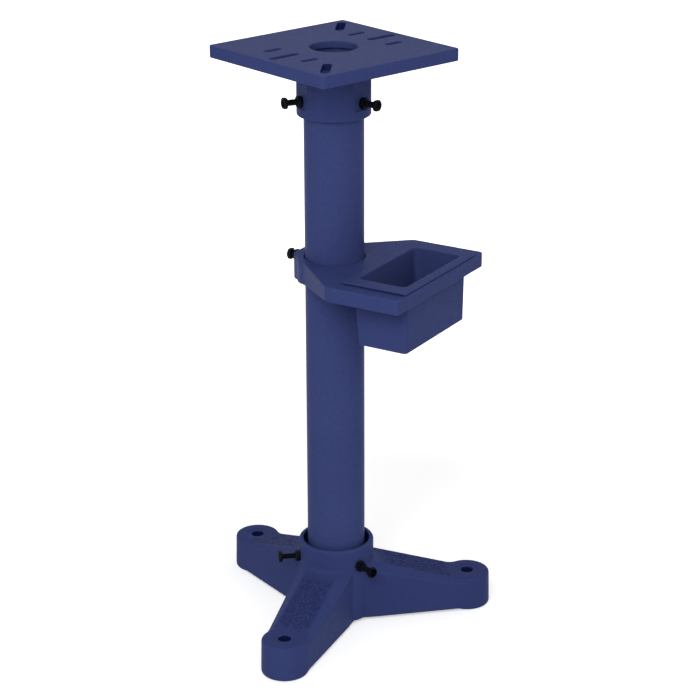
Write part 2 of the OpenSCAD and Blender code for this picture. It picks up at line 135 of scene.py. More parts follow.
def turned(point: Vector, angle: float) -> Vector:
    """Turns a flat vector anticlockwise by an angle in radians."""
    return Vector((point.x * math.cos(angle) - point.y * math.sin(angle),
                   point.x * math.sin(angle) + point.y * math.cos(angle)))


def rounded(outline: Sequence[Vector], radii: Sequence[float]) -> list[Vector]:
    """Rounds each corner of a closed outline by its own radius.

    Args:
        outline: The outline's corners, in order.
        radii: One radius for each corner, where zero keeps it sharp.

    Returns:
        The points of the rounded outline.
    """
    points: list[Vector] = []
    count = len(outline)
    for index, (corner, radius) in enumerate(zip(outline, radii)):
        before, after = outline[index - 1], outline[(index + 1) % count]
        points += corner_arc(before, corner, after, radius) if radius > 0 else [corner]
    return points


def inset(outline: Sequence[Vector], depth: float) -> list[Vector]:
    """Moves an outline inwards.

    Args:
        outline: The outline's corners, anticlockwise.
        depth: How far each side moves.

    Returns:
        The corners of the smaller outline.
    """
    points = []
    count = len(outline)
    for index, corner in enumerate(outline):
        along = (corner - outline[index - 1]).normalized()
        onward = (outline[(index + 1) % count] - corner).normalized()
        first, second = turned(along, QUARTER), turned(onward, QUARTER)
        points.append(corner + depth * (first + second) / (1 + first.dot(second)))
    return points


def oblong(length: float, width: float, radius: float) -> list[Vector]:
    """A rectangle centred on the origin with round corners, its length along X."""
    corners = [Vector((x * length / 2, y * width / 2)) for x, y in ((-1, -1), (1, -1), (1, 1), (-1, 1))]
    return rounded(corners, [radius] * len(corners))


# Solids


def prism(outline: Sequence[Vector], low: float, high: float) -> bmesh.types.BMesh:
    """Extrudes a flat outline.

    Args:
        outline: The outline's points, in order.
        low: The height at which the solid starts.
        high: The height at which it ends.

    Returns:
        The closed solid.
    """
    solid = bmesh.new()
    base = solid.faces.new([solid.verts.new((point.x, point.y, low)) for point in outline])
    grown = bmesh.ops.extrude_face_region(solid, geom=[base])
    lifted = [item for item in grown["geom"] if isinstance(item, bmesh.types.BMVert)]
    bmesh.ops.translate(solid, vec=(0, 0, high - low), verts=lifted)
    return solid


def revolve(profile: Sequence[Vector], closed: bool = True, steps: int = ROUND_STEPS) -> bmesh.types.BMesh:
    """A profile spun round the Z axis.

    Args:
        profile: Points as radius and height.
        closed: Whether the last point joins the first; an open profile starts and ends on the axis.
        steps: The number of facets round the axis.

    Returns:
        The closed solid.
    """
    solid = bmesh.new()
    points = [solid.verts.new((point.x, 0, point.y)) for point in profile]
    ends = points[1:] + points[:1] if closed else points[1:]
    lines = [solid.edges.new(pair) for pair in zip(points, ends)]
    bmesh.ops.spin(solid, geom=points + lines, cent=(0, 0, 0), axis=(0, 0, 1), dvec=(0, 0, 0),
                   angle=math.tau, steps=steps, use_merge=True)
    bmesh.ops.remove_doubles(solid, verts=solid.verts, dist=WELD)
    return solid


def loft(rings: Sequence[Sequence[Vector]]) -> bmesh.types.BMesh:
    """Bridges rings into a solid with a cap at both ends.

    Args:
        rings: Closed rings with equal numbers of points, in order.

    Returns:
        The closed solid.
    """
    solid = bmesh.new()
    loops = []
    for ring in rings:
        points = [solid.verts.new(point) for point in ring]
        lines = [solid.edges.new(pair) for pair in zip(points, points[1:] + points[:1])]
        loops.append((points, lines))
    for (_, near), (_, far) in zip(loops, loops[1:]):
        bmesh.ops.bridge_loops(solid, edges=near + far)
    for points, _ in (loops[0], loops[-1]):
        solid.faces.new(points)
    return solid


def rod(radius: float, low: float, high: float, steps: int = ROUND_STEPS) -> bmesh.types.BMesh:
    """Makes a solid cylinder on the Z axis.

    Args:
        radius: The radius of its corners.
        low: The height at which it starts.
        high: The height at which it ends.
        steps: The number of facets round it.

    Returns:
        The closed solid.
    """
    solid = bmesh.new()
    bmesh.ops.create_cone(solid, cap_ends=True, segments=steps, radius1=radius, radius2=radius,
                          depth=high - low, matrix=Matrix.Translation((0, 0, (low + high) / 2)))
    return solid


def block(lowest: Vector, highest: Vector) -> bmesh.types.BMesh:
    """Makes a box.

    Args:
        lowest: The corner with the lowest coordinates.
        highest: The corner with the highest coordinates.

    Returns:
        The closed solid.
    """
    solid = bmesh.new()
    size = highest - lowest
    place = Matrix.Translation((lowest + highest) / 2) @ Matrix.Diagonal((*size, 1))
    bmesh.ops.create_cube(solid, size=1, matrix=place)
    return solid


def placed(solid: bmesh.types.BMesh, place: Matrix) -> bmesh.types.BMesh:
    """The same solid moved by a matrix."""
    bmesh.ops.transform(solid, matrix=place, verts=solid.verts)
    return solid


def about_z(angle: float) -> Matrix:
    """A turn about the column's axis."""
    return Matrix.Rotation(angle, 4, "Z")


def outward(angle: float, height: float) -> Matrix:
    """Places a solid that was made along Z so that it points out from the column's axis."""
    return Matrix.Translation((0, 0, height)) @ about_z(angle) @ Matrix.Rotation(QUARTER, 4, "Y")


class Workshop:
    """Turns solids into pieces of the scene and finishes their meshes."""

    @staticmethod
    def piece(name: str, solids: Iterable[bmesh.types.BMesh]) -> bpy.types.Object:
        """Makes one object of one or more solids.

        Args:
            name: The piece's name.
            solids: The solids, which are used up.

        Returns:
            The linked object, at the origin.
        """
        mesh = bpy.data.meshes.new(name)
        whole = bmesh.new()
        for solid in solids:
            bmesh.ops.recalc_face_normals(solid, faces=solid.faces)
            solid.to_mesh(mesh)
            solid.free()
            whole.from_mesh(mesh)
        whole.to_mesh(mesh)
        whole.free()
        made = bpy.data.objects.new(name, mesh)
        bpy.context.scene.collection.objects.link(made)
        return made

    @staticmethod
    def bake(target: bpy.types.Object) -> None:
        """Applies every modifier of a piece.

        Args:
            target: The piece, whose mesh is replaced by the finished one.
        """
        graph = bpy.context.evaluated_depsgraph_get()
        mesh = bpy.data.meshes.new_from_object(target.evaluated_get(graph))
        before = target.data
        target.modifiers.clear()
        target.data = mesh
        name = before.name
        bpy.data.meshes.remove(before)
        mesh.name = name

    @classmethod
    def combine(cls, target: bpy.types.Object, kind: Fuse, solids: Sequence[bmesh.types.BMesh]) -> None:
        """Adds solids to a piece, or cuts them from it.

        Args:
            target: The piece that is changed.
            kind: How the solids act on it.
            solids: Solids that don't touch each other.
        """
        tool = cls.piece("tool", solids)
        change = target.modifiers.new("combine", "BOOLEAN")
        change.operation = kind.value
        change.solver = "MANIFOLD"
        change.object = tool
        cls.bake(target)
        bpy.data.meshes.remove(tool.data)

    @classmethod
    def add_each(cls, target: bpy.types.Object, solids: Iterable[bmesh.types.BMesh]) -> None:
        """Adds solids to a piece one after another, so that they may overlap each other."""
        for solid in solids:
            cls.combine(target, Fuse.ADD, [solid])

    @classmethod
    def cast(cls, target: bpy.types.Object, voxel: float, passes: int) -> None:
        """Gives a piece even facets and the soft edges and inner corners of a sand casting.

        Args:
            target: The piece that is changed.
            voxel: The size of the facets.
            passes: How often the facets are smoothed, which sets the edges' radius.
        """
        even = target.modifiers.new("even facets", "REMESH")
        even.mode = "VOXEL"
        even.voxel_size = voxel * 1
        soft = target.modifiers.new("soft edges", "SMOOTH")
        soft.factor = 0.5
        soft.iterations = passes
        cls.bake(target)

    @classmethod
    def thin(cls, target: bpy.types.Object, most_triangles: int = MOST_TRIANGLES) -> None:
        """Thins a piece's mesh, if it has too many triangles.

        Args:
            target: The piece that is changed.
            most_triangles: The number of triangles that it may keep.
        """
        triangles = sum(len(face.vertices) - 2 for face in target.data.polygons)
        if triangles > most_triangles:
            lean = target.modifiers.new("lean", "DECIMATE")
            lean.ratio = most_triangles / triangles
            cls.bake(target)

    @staticmethod
    def mark(target: bpy.types.Object, share: Callable[[Vector, Vector], float]) -> None:
        """Writes how much painted shade and darker tone each point of a piece gets.

        Args:
            target: The piece that is marked.
            share: The rule, which takes a point and its normal and returns 0 for plain paint to 1 for the
                full painted shade colour.
        """
        marks = target.data.attributes.new(Paint.shade_mark, "FLOAT", "POINT")
        for vertex in target.data.vertices:
            marks.data[vertex.index].value = share(vertex.co, vertex.normal)

    @staticmethod
    def dress(target: bpy.types.Object, paint: bpy.types.Material, slot: Slot, body: str,
              node: str) -> None:
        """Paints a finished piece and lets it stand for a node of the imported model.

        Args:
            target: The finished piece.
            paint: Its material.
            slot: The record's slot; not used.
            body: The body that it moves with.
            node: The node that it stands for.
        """
        target.data.materials.clear()
        target.data.materials.append(paint)
        target.data.shade_smooth()
        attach(target, body)
        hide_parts(node)
        log.info("%s: %d faces, in place of %s", target.name, len(target.data.polygons), node)


# Finishes


class Nodes:
    """A small helper that places and links the nodes of one tree."""

    def __init__(self, tree: bpy.types.NodeTree) -> None:
        """Works on a tree of shader nodes."""
        self.tree = tree

    def add(self, kind: str, **settings: object) -> bpy.types.Node:
        """Adds a node.

        Args:
            kind: The node's type.
            **settings: Properties of the node and their values.

        Returns:
            The new node.
        """
        node = self.tree.nodes.new(kind)
        for name, value in settings.items():
            setattr(node, name, value)
        return node

    def link(self, source: bpy.types.NodeSocket, target: bpy.types.NodeSocket) -> None:
        """Links one socket to another."""
        self.tree.links.new(source, target)

    def maths(self, operation: str, first: object, second: object) -> bpy.types.NodeSocket:
        """Adds a Math node.

        Args:
            operation: What it does.
            first: Its first input, a number or a socket.
            second: Its second input, a number or a socket.

        Returns:
            The node's output.
        """
        node = self.add("ShaderNodeMath", operation=operation)
        for socket, value in zip(node.inputs, (first, second)):
            if isinstance(value, bpy.types.NodeSocket):
                self.link(value, socket)
            else:
                socket.default_value = value
        return node.outputs[0]

    def noise(self, vector: bpy.types.NodeSocket, scale: float, detail: float) -> bpy.types.NodeSocket:
        """Adds a Noise Texture.

        Args:
            vector: The place at which it is read.
            scale: Its scale, per metre.
            detail: How many finer layers it has.

        Returns:
            The noise's value.
        """
        node = self.add("ShaderNodeTexNoise")
        node.inputs["Scale"].default_value = scale
        node.inputs["Detail"].default_value = detail
        self.link(vector, node.inputs["Vector"])
        return node.outputs["Fac"]

    def spread(self, value: bpy.types.NodeSocket, low: float, high: float,
               to_low: float = 0.0, to_high: float = 1.0) -> bpy.types.NodeSocket:
        """Adds a clamped Map Range.

        Args:
            value: The value that is mapped.
            low: The value that becomes `to_low`.
            high: The value that becomes `to_high`.
            to_low: The result at the low end.
            to_high: The result at the high end.

        Returns:
            The mapped value.
        """
        node = self.add("ShaderNodeMapRange")
        for socket, number in zip(list(node.inputs)[1:5], (low, high, to_low, to_high)):
            socket.default_value = number
        self.link(value, node.inputs[0])
        return node.outputs[0]


class SurfaceGroups:
    """Node groups that several finishes share, each built once. Scales are per metre."""

    wave_scale: ClassVar[float] = 45.0
    grain_scale: ClassVar[float] = 420.0
    peel_scale: ClassVar[float] = 900.0
    drift_scale: ClassVar[float] = 9.0
    fine_drift_scale: ClassVar[float] = 160.0
    fine_drift_share: ClassVar[float] = 0.35
    # The noise scale and gain of the edge mask, which gives enamel a painted highlight and black oxide its
    # rubbed edges.
    rub_and_highlight_scale: ClassVar[float] = 220.0
    rub_and_highlight_gain: ClassVar[float] = 14.0

    def __init__(self) -> None:
        """Builds the groups."""
        self.skin = self.build_skin()
        self.drift = self.build_drift()
        self.rub_and_highlight = self.build_rub_and_highlight()

    @staticmethod
    def new_group(name: str, inputs: dict[str, tuple[str, float | None]],
                  outputs: Sequence[tuple[str, str]]) -> tuple[Nodes, bpy.types.Node, bpy.types.Node]:
        """Starts a node group.

        Args:
            name: The group's name.
            inputs: Each input's socket type and its usual value.
            outputs: Each output's name and socket type.

        Returns:
            The group's nodes, its input node and its output node.
        """
        tree = bpy.data.node_groups.new(name, "ShaderNodeTree")
        for label, (kind, value) in inputs.items():
            socket = tree.interface.new_socket(name=label, in_out="INPUT", socket_type=kind)
            if value is not None:
                socket.default_value = value
        for label, kind in outputs:
            tree.interface.new_socket(name=label, in_out="OUTPUT", socket_type=kind)
        nodes = Nodes(tree)
        return nodes, nodes.add("NodeGroupInput"), nodes.add("NodeGroupOutput")

    @classmethod
    def build_skin(cls) -> bpy.types.NodeTree:
        """Builds the relief of painted metal: broad waves, foundry grain and the paint's orange peel.

        Returns:
            The group's tree, whose output is a height.
        """
        nodes, given, result = cls.new_group(
            "painted skin",
            {"Vector": ("NodeSocketVector", None), "Waves": ("NodeSocketFloat", 1.0),
             "Grain": ("NodeSocketFloat", 1.0), "Orange Peel": ("NodeSocketFloat", 1.0)},
            [("Height", "NodeSocketFloat")])
        vector = given.outputs["Vector"]
        waves = nodes.maths("MULTIPLY", nodes.noise(vector, cls.wave_scale, 1.0), given.outputs["Waves"])
        grain = nodes.maths("MULTIPLY", nodes.noise(vector, cls.grain_scale, 3.0), given.outputs["Grain"])
        peel = nodes.maths("MULTIPLY", nodes.noise(vector, cls.peel_scale, 0.0), given.outputs["Orange Peel"])
        nodes.link(nodes.maths("ADD", nodes.maths("ADD", waves, grain), peel), result.inputs["Height"])
        return nodes.tree

    @classmethod
    def build_drift(cls) -> bpy.types.NodeTree:
        """Builds the slow change of a finish's colour where its coat is thicker or thinner.

        Returns:
            The group's tree, whose outputs are the colour and the coat's thickness as 0 to 1.
        """
        nodes, given, result = cls.new_group(
            "paint drift",
            {"Vector": ("NodeSocketVector", None), "Thin": ("NodeSocketColor", None),
             "Thick": ("NodeSocketColor", None)},
            [("Color", "NodeSocketColor"), ("Fac", "NodeSocketFloat")])
        broad = nodes.noise(given.outputs["Vector"], cls.drift_scale, 3.0)
        fine = nodes.noise(given.outputs["Vector"], cls.fine_drift_scale, 2.0)
        both = nodes.maths("ADD", broad, nodes.maths("MULTIPLY", fine, cls.fine_drift_share))
        fac = nodes.spread(both, cls.fine_drift_share, 1.0)
        mix = nodes.add("ShaderNodeMix", data_type="RGBA")
        nodes.link(fac, mix.inputs["Factor"])
        nodes.link(given.outputs["Thin"], mix.inputs["A"])
        nodes.link(given.outputs["Thick"], mix.inputs["B"])
        nodes.link(mix.outputs["Result"], result.inputs["Color"])
        nodes.link(fac, result.inputs["Fac"])
        return nodes.tree

    @classmethod
    def build_rub_and_highlight(cls) -> bpy.types.NodeTree:
        """Builds the mask of outer edges, where enamel gets a painted highlight and a black finish is rubbed.

        Returns:
            The group's tree, whose output is 1 on an edge that is fully highlighted on enamel and fully
            rubbed on black oxide.
        """
        nodes, given, result = cls.new_group(
            "edge rub and highlight",
            {"Vector": ("NodeSocketVector", None), "Start": ("NodeSocketFloat", 0.52),
             "Amount": ("NodeSocketFloat", 1.0)},
            [("Mask", "NodeSocketFloat")])
        point = nodes.add("ShaderNodeNewGeometry").outputs["Pointiness"]
        broken = nodes.spread(nodes.noise(given.outputs["Vector"], cls.rub_and_highlight_scale, 4.0), 0.35, 0.65, 0.4, 1.0)
        over = nodes.maths("SUBTRACT", point, given.outputs["Start"])
        edge = nodes.maths("MULTIPLY", nodes.maths("MAXIMUM", over, 0.0), cls.rub_and_highlight_gain)
        strong = nodes.maths("MULTIPLY", nodes.maths("MINIMUM", edge, 1.0), given.outputs["Amount"])
        nodes.link(nodes.maths("MULTIPLY", strong, broken), result.inputs["Mask"])
        return nodes.tree


@dataclass(frozen=True)
class Paint:
    """Enamel over iron or steel, with a painted highlight on outer edges, painted shade in holes, slots and
    the hollows of a coarse casting, and a darker tone where marked.
    """

    name: str
    thin: tuple[float, float, float, float] = (0.048, 0.066, 0.200, 1)
    thick: tuple[float, float, float, float] = (0.038, 0.053, 0.172, 1)
    # The edge colour is a painted highlight: a lighter blue that the edge mask lays on outer edges, at the
    # edge highlight amount.
    edge: tuple[float, float, float, float] = (0.078, 0.100, 0.260, 1)
    roughness: float = 0.4
    roughness_swing: float = 0.05
    specular: float = 0.01
    waves: float = 1.0
    grain: float = 1.0
    orange_peel: float = 1.0
    bump: float = 0.5
    bump_distance: float = 0.001
    edge_highlight_amount: float = 1.0
    # The dark colour laid on where a piece is marked: painted shade in the feet's holes, the hub's mouth, the
    # plate's slots and the hollows of the sand skin, and a darker tone on the legs' flats and the feet's
    # tops.
    painted_shade: tuple[float, float, float, float] = (0.006, 0.010, 0.062, 1)
    painted_shade_amount: float = 0.9
    shade_mark: ClassVar[str] = "painted_shade_share"

    def material(self, groups: SurfaceGroups) -> bpy.types.Material:
        """Builds the paint's material.

        Args:
            groups: The shared node groups.

        Returns:
            The material.
        """
        material = bpy.data.materials.new(self.name)
        material.use_nodes = True
        nodes = Nodes(material.node_tree)
        shader = material.node_tree.nodes["Principled BSDF"]
        shader.inputs["Specular IOR Level"].default_value = self.specular
        vector = nodes.add("ShaderNodeTexCoord").outputs["Object"]

        drift = nodes.add("ShaderNodeGroup", node_tree=groups.drift)
        drift.inputs["Thin"].default_value = self.thin
        drift.inputs["Thick"].default_value = self.thick
        nodes.link(vector, drift.inputs["Vector"])
        rub_and_highlight = nodes.add("ShaderNodeGroup", node_tree=groups.rub_and_highlight)
        rub_and_highlight.inputs["Amount"].default_value = self.edge_highlight_amount
        nodes.link(vector, rub_and_highlight.inputs["Vector"])
        # Painted highlight: the lighter edge colour on outer edges.
        colour = nodes.add("ShaderNodeMix", data_type="RGBA")
        colour.inputs["B"].default_value = self.edge
        nodes.link(rub_and_highlight.outputs["Mask"], colour.inputs["Factor"])
        nodes.link(drift.outputs["Color"], colour.inputs["A"])
        # Painted shade: the dark colour where the piece's mark asks for it.
        shade_mix = nodes.add("ShaderNodeMix", data_type="RGBA")
        shade_mix.inputs["B"].default_value = self.painted_shade
        mark = nodes.add("ShaderNodeAttribute", attribute_name=self.shade_mark)
        nodes.link(nodes.maths("MULTIPLY", mark.outputs["Fac"], self.painted_shade_amount), shade_mix.inputs["Factor"])
        nodes.link(colour.outputs["Result"], shade_mix.inputs["A"])
        nodes.link(shade_mix.outputs["Result"], shader.inputs["Base Color"])
        roughness = nodes.spread(drift.outputs["Fac"], 0.0, 1.0,
                                 self.roughness + self.roughness_swing, self.roughness - self.roughness_swing)
        nodes.link(roughness, shader.inputs["Roughness"])

        skin = nodes.add("ShaderNodeGroup", node_tree=groups.skin)
        reliefs = (("Waves", self.waves), ("Grain", self.grain), ("Orange Peel", self.orange_peel))
        for label, value in reliefs:
            skin.inputs[label].default_value = value
        nodes.link(vector, skin.inputs["Vector"])
        bump = nodes.add("ShaderNodeBump")
        bump.inputs["Strength"].default_value = self.bump
        bump.inputs["Distance"].default_value = self.bump_distance
        nodes.link(skin.outputs["Height"], bump.inputs["Height"])
        nodes.link(bump.outputs["Normal"], shader.inputs["Normal"])
        return material


@dataclass(frozen=True)
class BlackOxide:
    """Oiled black oxide on small steel fasteners, rubbed a little along its edges."""

    name: str = "black_oxide"
    thin: tuple[float, float, float, float] = (0.004, 0.005, 0.012, 1)
    thick: tuple[float, float, float, float] = (0.002, 0.003, 0.007, 1)
    bare: tuple[float, float, float, float] = (0.02, 0.021, 0.028, 1)
    roughness: tuple[float, float] = (0.34, 0.5)
    specular: float = 0.02
    rub_start: float = 0.56
    rub_amount: float = 0.5

    def material(self, groups: SurfaceGroups) -> bpy.types.Material:
        """Builds the finish's material.

        Args:
            groups: The shared node groups.

        Returns:
            The material.
        """
        material = bpy.data.materials.new(self.name)
        material.use_nodes = True
        nodes = Nodes(material.node_tree)
        shader = material.node_tree.nodes["Principled BSDF"]
        shader.inputs["Specular IOR Level"].default_value = self.specular
        vector = nodes.add("ShaderNodeTexCoord").outputs["Object"]
        drift = nodes.add("ShaderNodeGroup", node_tree=groups.drift)
        drift.inputs["Thin"].default_value = self.thin
        drift.inputs["Thick"].default_value = self.thick
        nodes.link(vector, drift.inputs["Vector"])
        rub_and_highlight = nodes.add("ShaderNodeGroup", node_tree=groups.rub_and_highlight)
        rub_and_highlight.inputs["Start"].default_value = self.rub_start
        rub_and_highlight.inputs["Amount"].default_value = self.rub_amount
        nodes.link(vector, rub_and_highlight.inputs["Vector"])
        colour = nodes.add("ShaderNodeMix", data_type="RGBA")
        colour.inputs["B"].default_value = self.bare
        nodes.link(rub_and_highlight.outputs["Mask"], colour.inputs["Factor"])
        nodes.link(drift.outputs["Color"], colour.inputs["A"])
        nodes.link(colour.outputs["Result"], shader.inputs["Base Color"])
        roughness = nodes.spread(drift.outputs["Fac"], 0.0, 1.0, *self.roughness)
        nodes.link(roughness, shader.inputs["Roughness"])
        return material


@dataclass
class Finishes:
    """Every finish of the stand, as materials."""

    groups: SurfaceGroups = field(default_factory=SurfaceGroups)

    def __post_init__(self) -> None:
        """Builds the materials."""
        self.casting = Paint("blue_enamel_on_iron").material(self.groups)
        # The tube gets a weaker painted highlight on its edges.
        self.tube = Paint("blue_enamel_on_tube", roughness=0.36, waves=0.25, grain=0.15, orange_peel=0.5,
                          bump=0.2, edge_highlight_amount=0.3).material(self.groups)
        self.black = BlackOxide().material(self.groups)


# The stand


@dataclass(frozen=True)
class Column:
    """The round steel column, and the sizes that its neighbours share."""

    radius: float = 0.0381
    wall: float = 0.003
    edge: float = 0.0005
    edge_angle: float = math.radians(40)
    socket_fit: float = 0.0004

    @property
    def socket(self) -> float:
        """Radius of the sockets that hold the column."""
        return self.radius + self.socket_fit

    def build(self, finishes: Finishes) -> None:
        """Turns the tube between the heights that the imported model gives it.

        Args:
            finishes: The stand's finishes.
        """
        low, high = (corner.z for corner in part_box("column_tube"))
        inner = self.radius - self.wall
        profile = [Vector((inner, low + self.edge)), Vector((inner + self.edge, low)),
                   Vector((self.radius - self.edge, low)), Vector((self.radius, low + self.edge)),
                   Vector((self.radius, high - self.edge)), Vector((self.radius - self.edge, high)),
                   Vector((inner + self.edge, high)), Vector((inner, high - self.edge))]
        tube = Workshop.piece("steel_column", [revolve(profile)])
        soft = tube.modifiers.new("ends", "EDGE_SPLIT")
        soft.split_angle = self.edge_angle
        Workshop.bake(tube)
        Workshop.dress(tube, finishes.tube, Slot.TUBE, "column", "column_tube")


@dataclass(frozen=True)
class BaseCasting:
    """Three hollow bevelled legs round a hub, each with a round foot."""

    column: Column
    turn: float = math.radians(-2.3)
    foot_reach: float = 0.180
    foot_radius: float = 0.031
    foot_lean: float = 0.001
    foot_height: float = 0.048
    foot_hole: float = 0.008
    foot_edge: float = 0.004
    foot_top_edge: float = 0.004
    foot_roof: float = 0.010
    foot_post: float = 0.015
    seat_radius: float = 0.015
    seat_depth: float = 0.0008
    hub_height: float = 0.111
    hub_wall: float = 0.0115
    hub_edge: float = 0.003
    hub_lift: float = 0.0015
    mouth_gap: float = 0.0055
    mouth_depth: float = 0.020
    ledge_height: float = 0.012
    ledge_width: float = 0.005
    leg_root_height: float = 0.080
    leg_root_width: float = 0.074
    leg_end_back: float = 0.022
    leg_flat: tuple[float, float] = (0.0235, 0.0245)
    leg_bevel: tuple[float, float] = (0.009, 0.006)
    leg_wall: float = 0.008
    floor_gap: float = 0.004
    root_fillet: float = 0.009
    blend_bite: float = 0.0004
    bolt_height: float = 0.086
    bolt_hole: float = 0.0041
    bolt_length: float = 0.035
    spot_radius: float = 0.009
    spot_depth: float = 0.0008
    flat_depth: float = 0.0022
    flat_fade: tuple[float, float] = (0.016, 0.004)
    sand_scale: float = 0.0036
    sand_height: float = 0.0022
    # How much darker the legs' flats are overall, how much painted shade the sand skin's hollows get for
    # their depth, and how much darker the feet's tops are.
    sand_share: float = 0.36
    pit_shade_share: float = 0.9
    foot_share: float = 0.12

    @property
    def hub_radius(self) -> float:
        """Outside radius of the hub."""
        return self.column.socket + self.hub_wall

    @property
    def leg_end(self) -> float:
        """Distance from the column's axis at which a leg's sloping top reaches its foot's height."""
        return self.foot_reach - self.leg_end_back

    def leg_top(self, reach: float) -> float:
        """Height of a leg's top at a distance from the column's axis."""
        slope = (self.leg_root_height - self.foot_height) / (self.leg_end - self.hub_radius)
        sloping = self.leg_root_height - slope * (reach - self.hub_radius)
        return max(sloping, self.foot_height - self.blend_bite)

    def along(self, reach: float, values: tuple[float, float]) -> float:
        """Works out a size that changes evenly along a leg.

        Args:
            reach: The distance from the column's axis.
            values: The size at the hub and at the foot.

        Returns:
            The size at that distance.
        """
        share = (reach - self.hub_radius) / (self.foot_reach - self.hub_radius)
        return values[0] + (values[1] - values[0]) * min(1.0, max(0.0, share))

    def half_width(self, reach: float) -> float:
        """Half the width of a leg at a distance from the column's axis."""
        root = self.leg_root_width / 2
        taper = (root - self.foot_radius) / (self.foot_reach - self.hub_radius)
        return root - taper * max(0.0, reach - self.hub_radius)

    def leg_section(self, reach: float) -> list[Vector]:
        """Draws the outer section of a leg.

        Args:
            reach: The distance from the column's axis.

        Returns:
            The section's corners, anticlockwise.
        """
        side, top = self.half_width(reach), self.leg_top(reach)
        flat, brow = self.along(reach, self.leg_flat), top - self.along(reach, self.leg_bevel)
        low = self.floor_gap
        places = ((-side, low), (side, low), (side, brow),
                  (flat, top), (-flat, top), (-side, brow))
        return [Vector((reach, across, height)) for across, height in places]

    def hollow_section(self, reach: float) -> list[Vector]:
        """Draws the section of a leg's hollow.

        Args:
            reach: The distance from the column's axis.

        Returns:
            The section's corners, anticlockwise.
        """
        side, top = self.half_width(reach) - self.leg_wall, self.leg_top(reach) - self.leg_wall
        places = ((-side, -OVERRUN), (side, -OVERRUN), (side, top), (-side, top))
        return [Vector((reach, across, height)) for across, height in places]

    def leg(self) -> bpy.types.Object:
        """Makes one hollow leg along X.

        Returns:
            The leg with its foot and the blend at its root.
        """
        reaches = (0.0, self.hub_radius, self.leg_end, self.foot_reach)
        leg = Workshop.piece("leg", [loft([self.leg_section(reach) for reach in reaches])])
        inner = (-OVERRUN, self.hub_radius, self.foot_reach - self.foot_radius)
        Workshop.combine(leg, Fuse.CUT, [loft([self.hollow_section(reach) for reach in inner])])
        Workshop.combine(leg, Fuse.ADD, [self.foot()])
        Workshop.combine(leg, Fuse.ADD, [self.root_blend()])
        Workshop.combine(leg, Fuse.CUT, self.foot_cuts())
        return leg

    def foot(self) -> bmesh.types.BMesh:
        """Turns a round foot with soft edges.

        Returns:
            The solid foot, at its place on the leg.
        """
        top_radius = self.foot_radius - self.foot_lean
        ground, side = Vector((0, 0)), Vector((self.foot_radius, 0))
        brow, peak = Vector((top_radius, self.foot_height)), Vector((0, self.foot_height))
        profile = [ground, *corner_arc(ground, side, brow, self.foot_edge),
                   *corner_arc(side, brow, peak, self.foot_top_edge), peak]
        return placed(revolve(profile, closed=False), Matrix.Translation((self.foot_reach, 0, 0)))

    def foot_cuts(self) -> list[bmesh.types.BMesh]:
        """Makes what is cut from a foot.

        Returns:
            The bolt hole with its machined seat, and the hollow round the bolt hole's post.
        """
        high = self.foot_height + OVERRUN
        seat = self.foot_height - self.seat_depth
        hole = [Vector((0, -OVERRUN)), Vector((self.foot_hole, -OVERRUN)), Vector((self.foot_hole, seat)),
                Vector((self.seat_radius, seat)), Vector((self.seat_radius, high)), Vector((0, high))]
        roof, ring = self.foot_height - self.foot_roof, self.foot_radius - self.leg_wall
        hollow = [Vector((self.foot_post, -OVERRUN)), Vector((ring, -OVERRUN)),
                  Vector((ring, roof)), Vector((self.foot_post, roof))]
        place = Matrix.Translation((self.foot_reach, 0, 0))
        return [placed(revolve(hole, closed=False), place), placed(revolve(hollow), place)]

    def root_blend(self) -> bmesh.types.BMesh:
        """Spins the concave blend between the hub's wall and a leg's sloping top.

        Returns:
            The blend as a solid as wide as the leg's top flat.
        """
        wall = self.hub_radius - self.blend_bite
        inner = self.hub_radius - self.hub_wall / 2
        far = self.leg_end
        foot = Vector((wall, self.leg_top(wall) - self.blend_bite))
        blend = corner_arc(Vector((wall, self.hub_height)), foot,
                           Vector((far, self.leg_top(far) - self.blend_bite)), self.root_fillet)
        low = self.leg_top(blend[-1].x) - self.leg_wall / 2
        profile = [Vector((inner, low)), Vector((inner, blend[0].y)), *blend, Vector((blend[-1].x, low))]
        half = math.asin(self.leg_flat[0] / self.hub_radius)
        solid = bmesh.new()
        points = [solid.verts.new((point.x, 0, point.y)) for point in profile]
        lines = [solid.edges.new(pair) for pair in zip(points, points[1:] + points[:1])]
        start = solid.faces.new(points)
        bmesh.ops.rotate(solid, verts=solid.verts, cent=(0, 0, 0),
                         matrix=Matrix.Rotation(-half, 3, "Z"))
        bmesh.ops.spin(solid, geom=points + lines + [start], cent=(0, 0, 0), axis=(0, 0, 1),
                       dvec=(0, 0, 0), angle=2 * half, steps=ROUND_STEPS // 4, use_merge=False)
        return solid

    def hub(self) -> bmesh.types.BMesh:
        """Turns the hub.

        Returns:
            The hub with the column's socket, its relieved mouth and the ledge below.
        """
        radius, socket = self.hub_radius, self.column.socket
        mouth = self.column.radius + self.mouth_gap
        ledge = self.column.radius - self.ledge_width
        low, high = self.floor_gap + self.hub_lift, self.hub_height
        relief = high - self.mouth_depth
        rim = corner_arc(Vector((radius, 0)), Vector((radius, high)), Vector((0, high)), self.hub_edge)
        lip = corner_arc(Vector((radius, high)), Vector((mouth, high)), Vector((mouth, relief)),
                         self.hub_edge / 3)
        profile = [Vector((ledge, low)), Vector((radius, low)), *rim, *lip, Vector((mouth, relief)),
                   Vector((socket, relief - (mouth - socket))), Vector((socket, self.ledge_height)),
                   Vector((ledge, self.ledge_height))]
        return revolve(profile)

    def leg_angle(self, index: int) -> float:
        """Direction of a leg, seen from above."""
        return self.turn + QUARTER + LEG_PITCH * index

    def bolt_angle(self, index: int) -> float:
        """Direction of a clamp bolt, halfway between two legs."""
        return self.leg_angle(index) + LEG_PITCH / 2

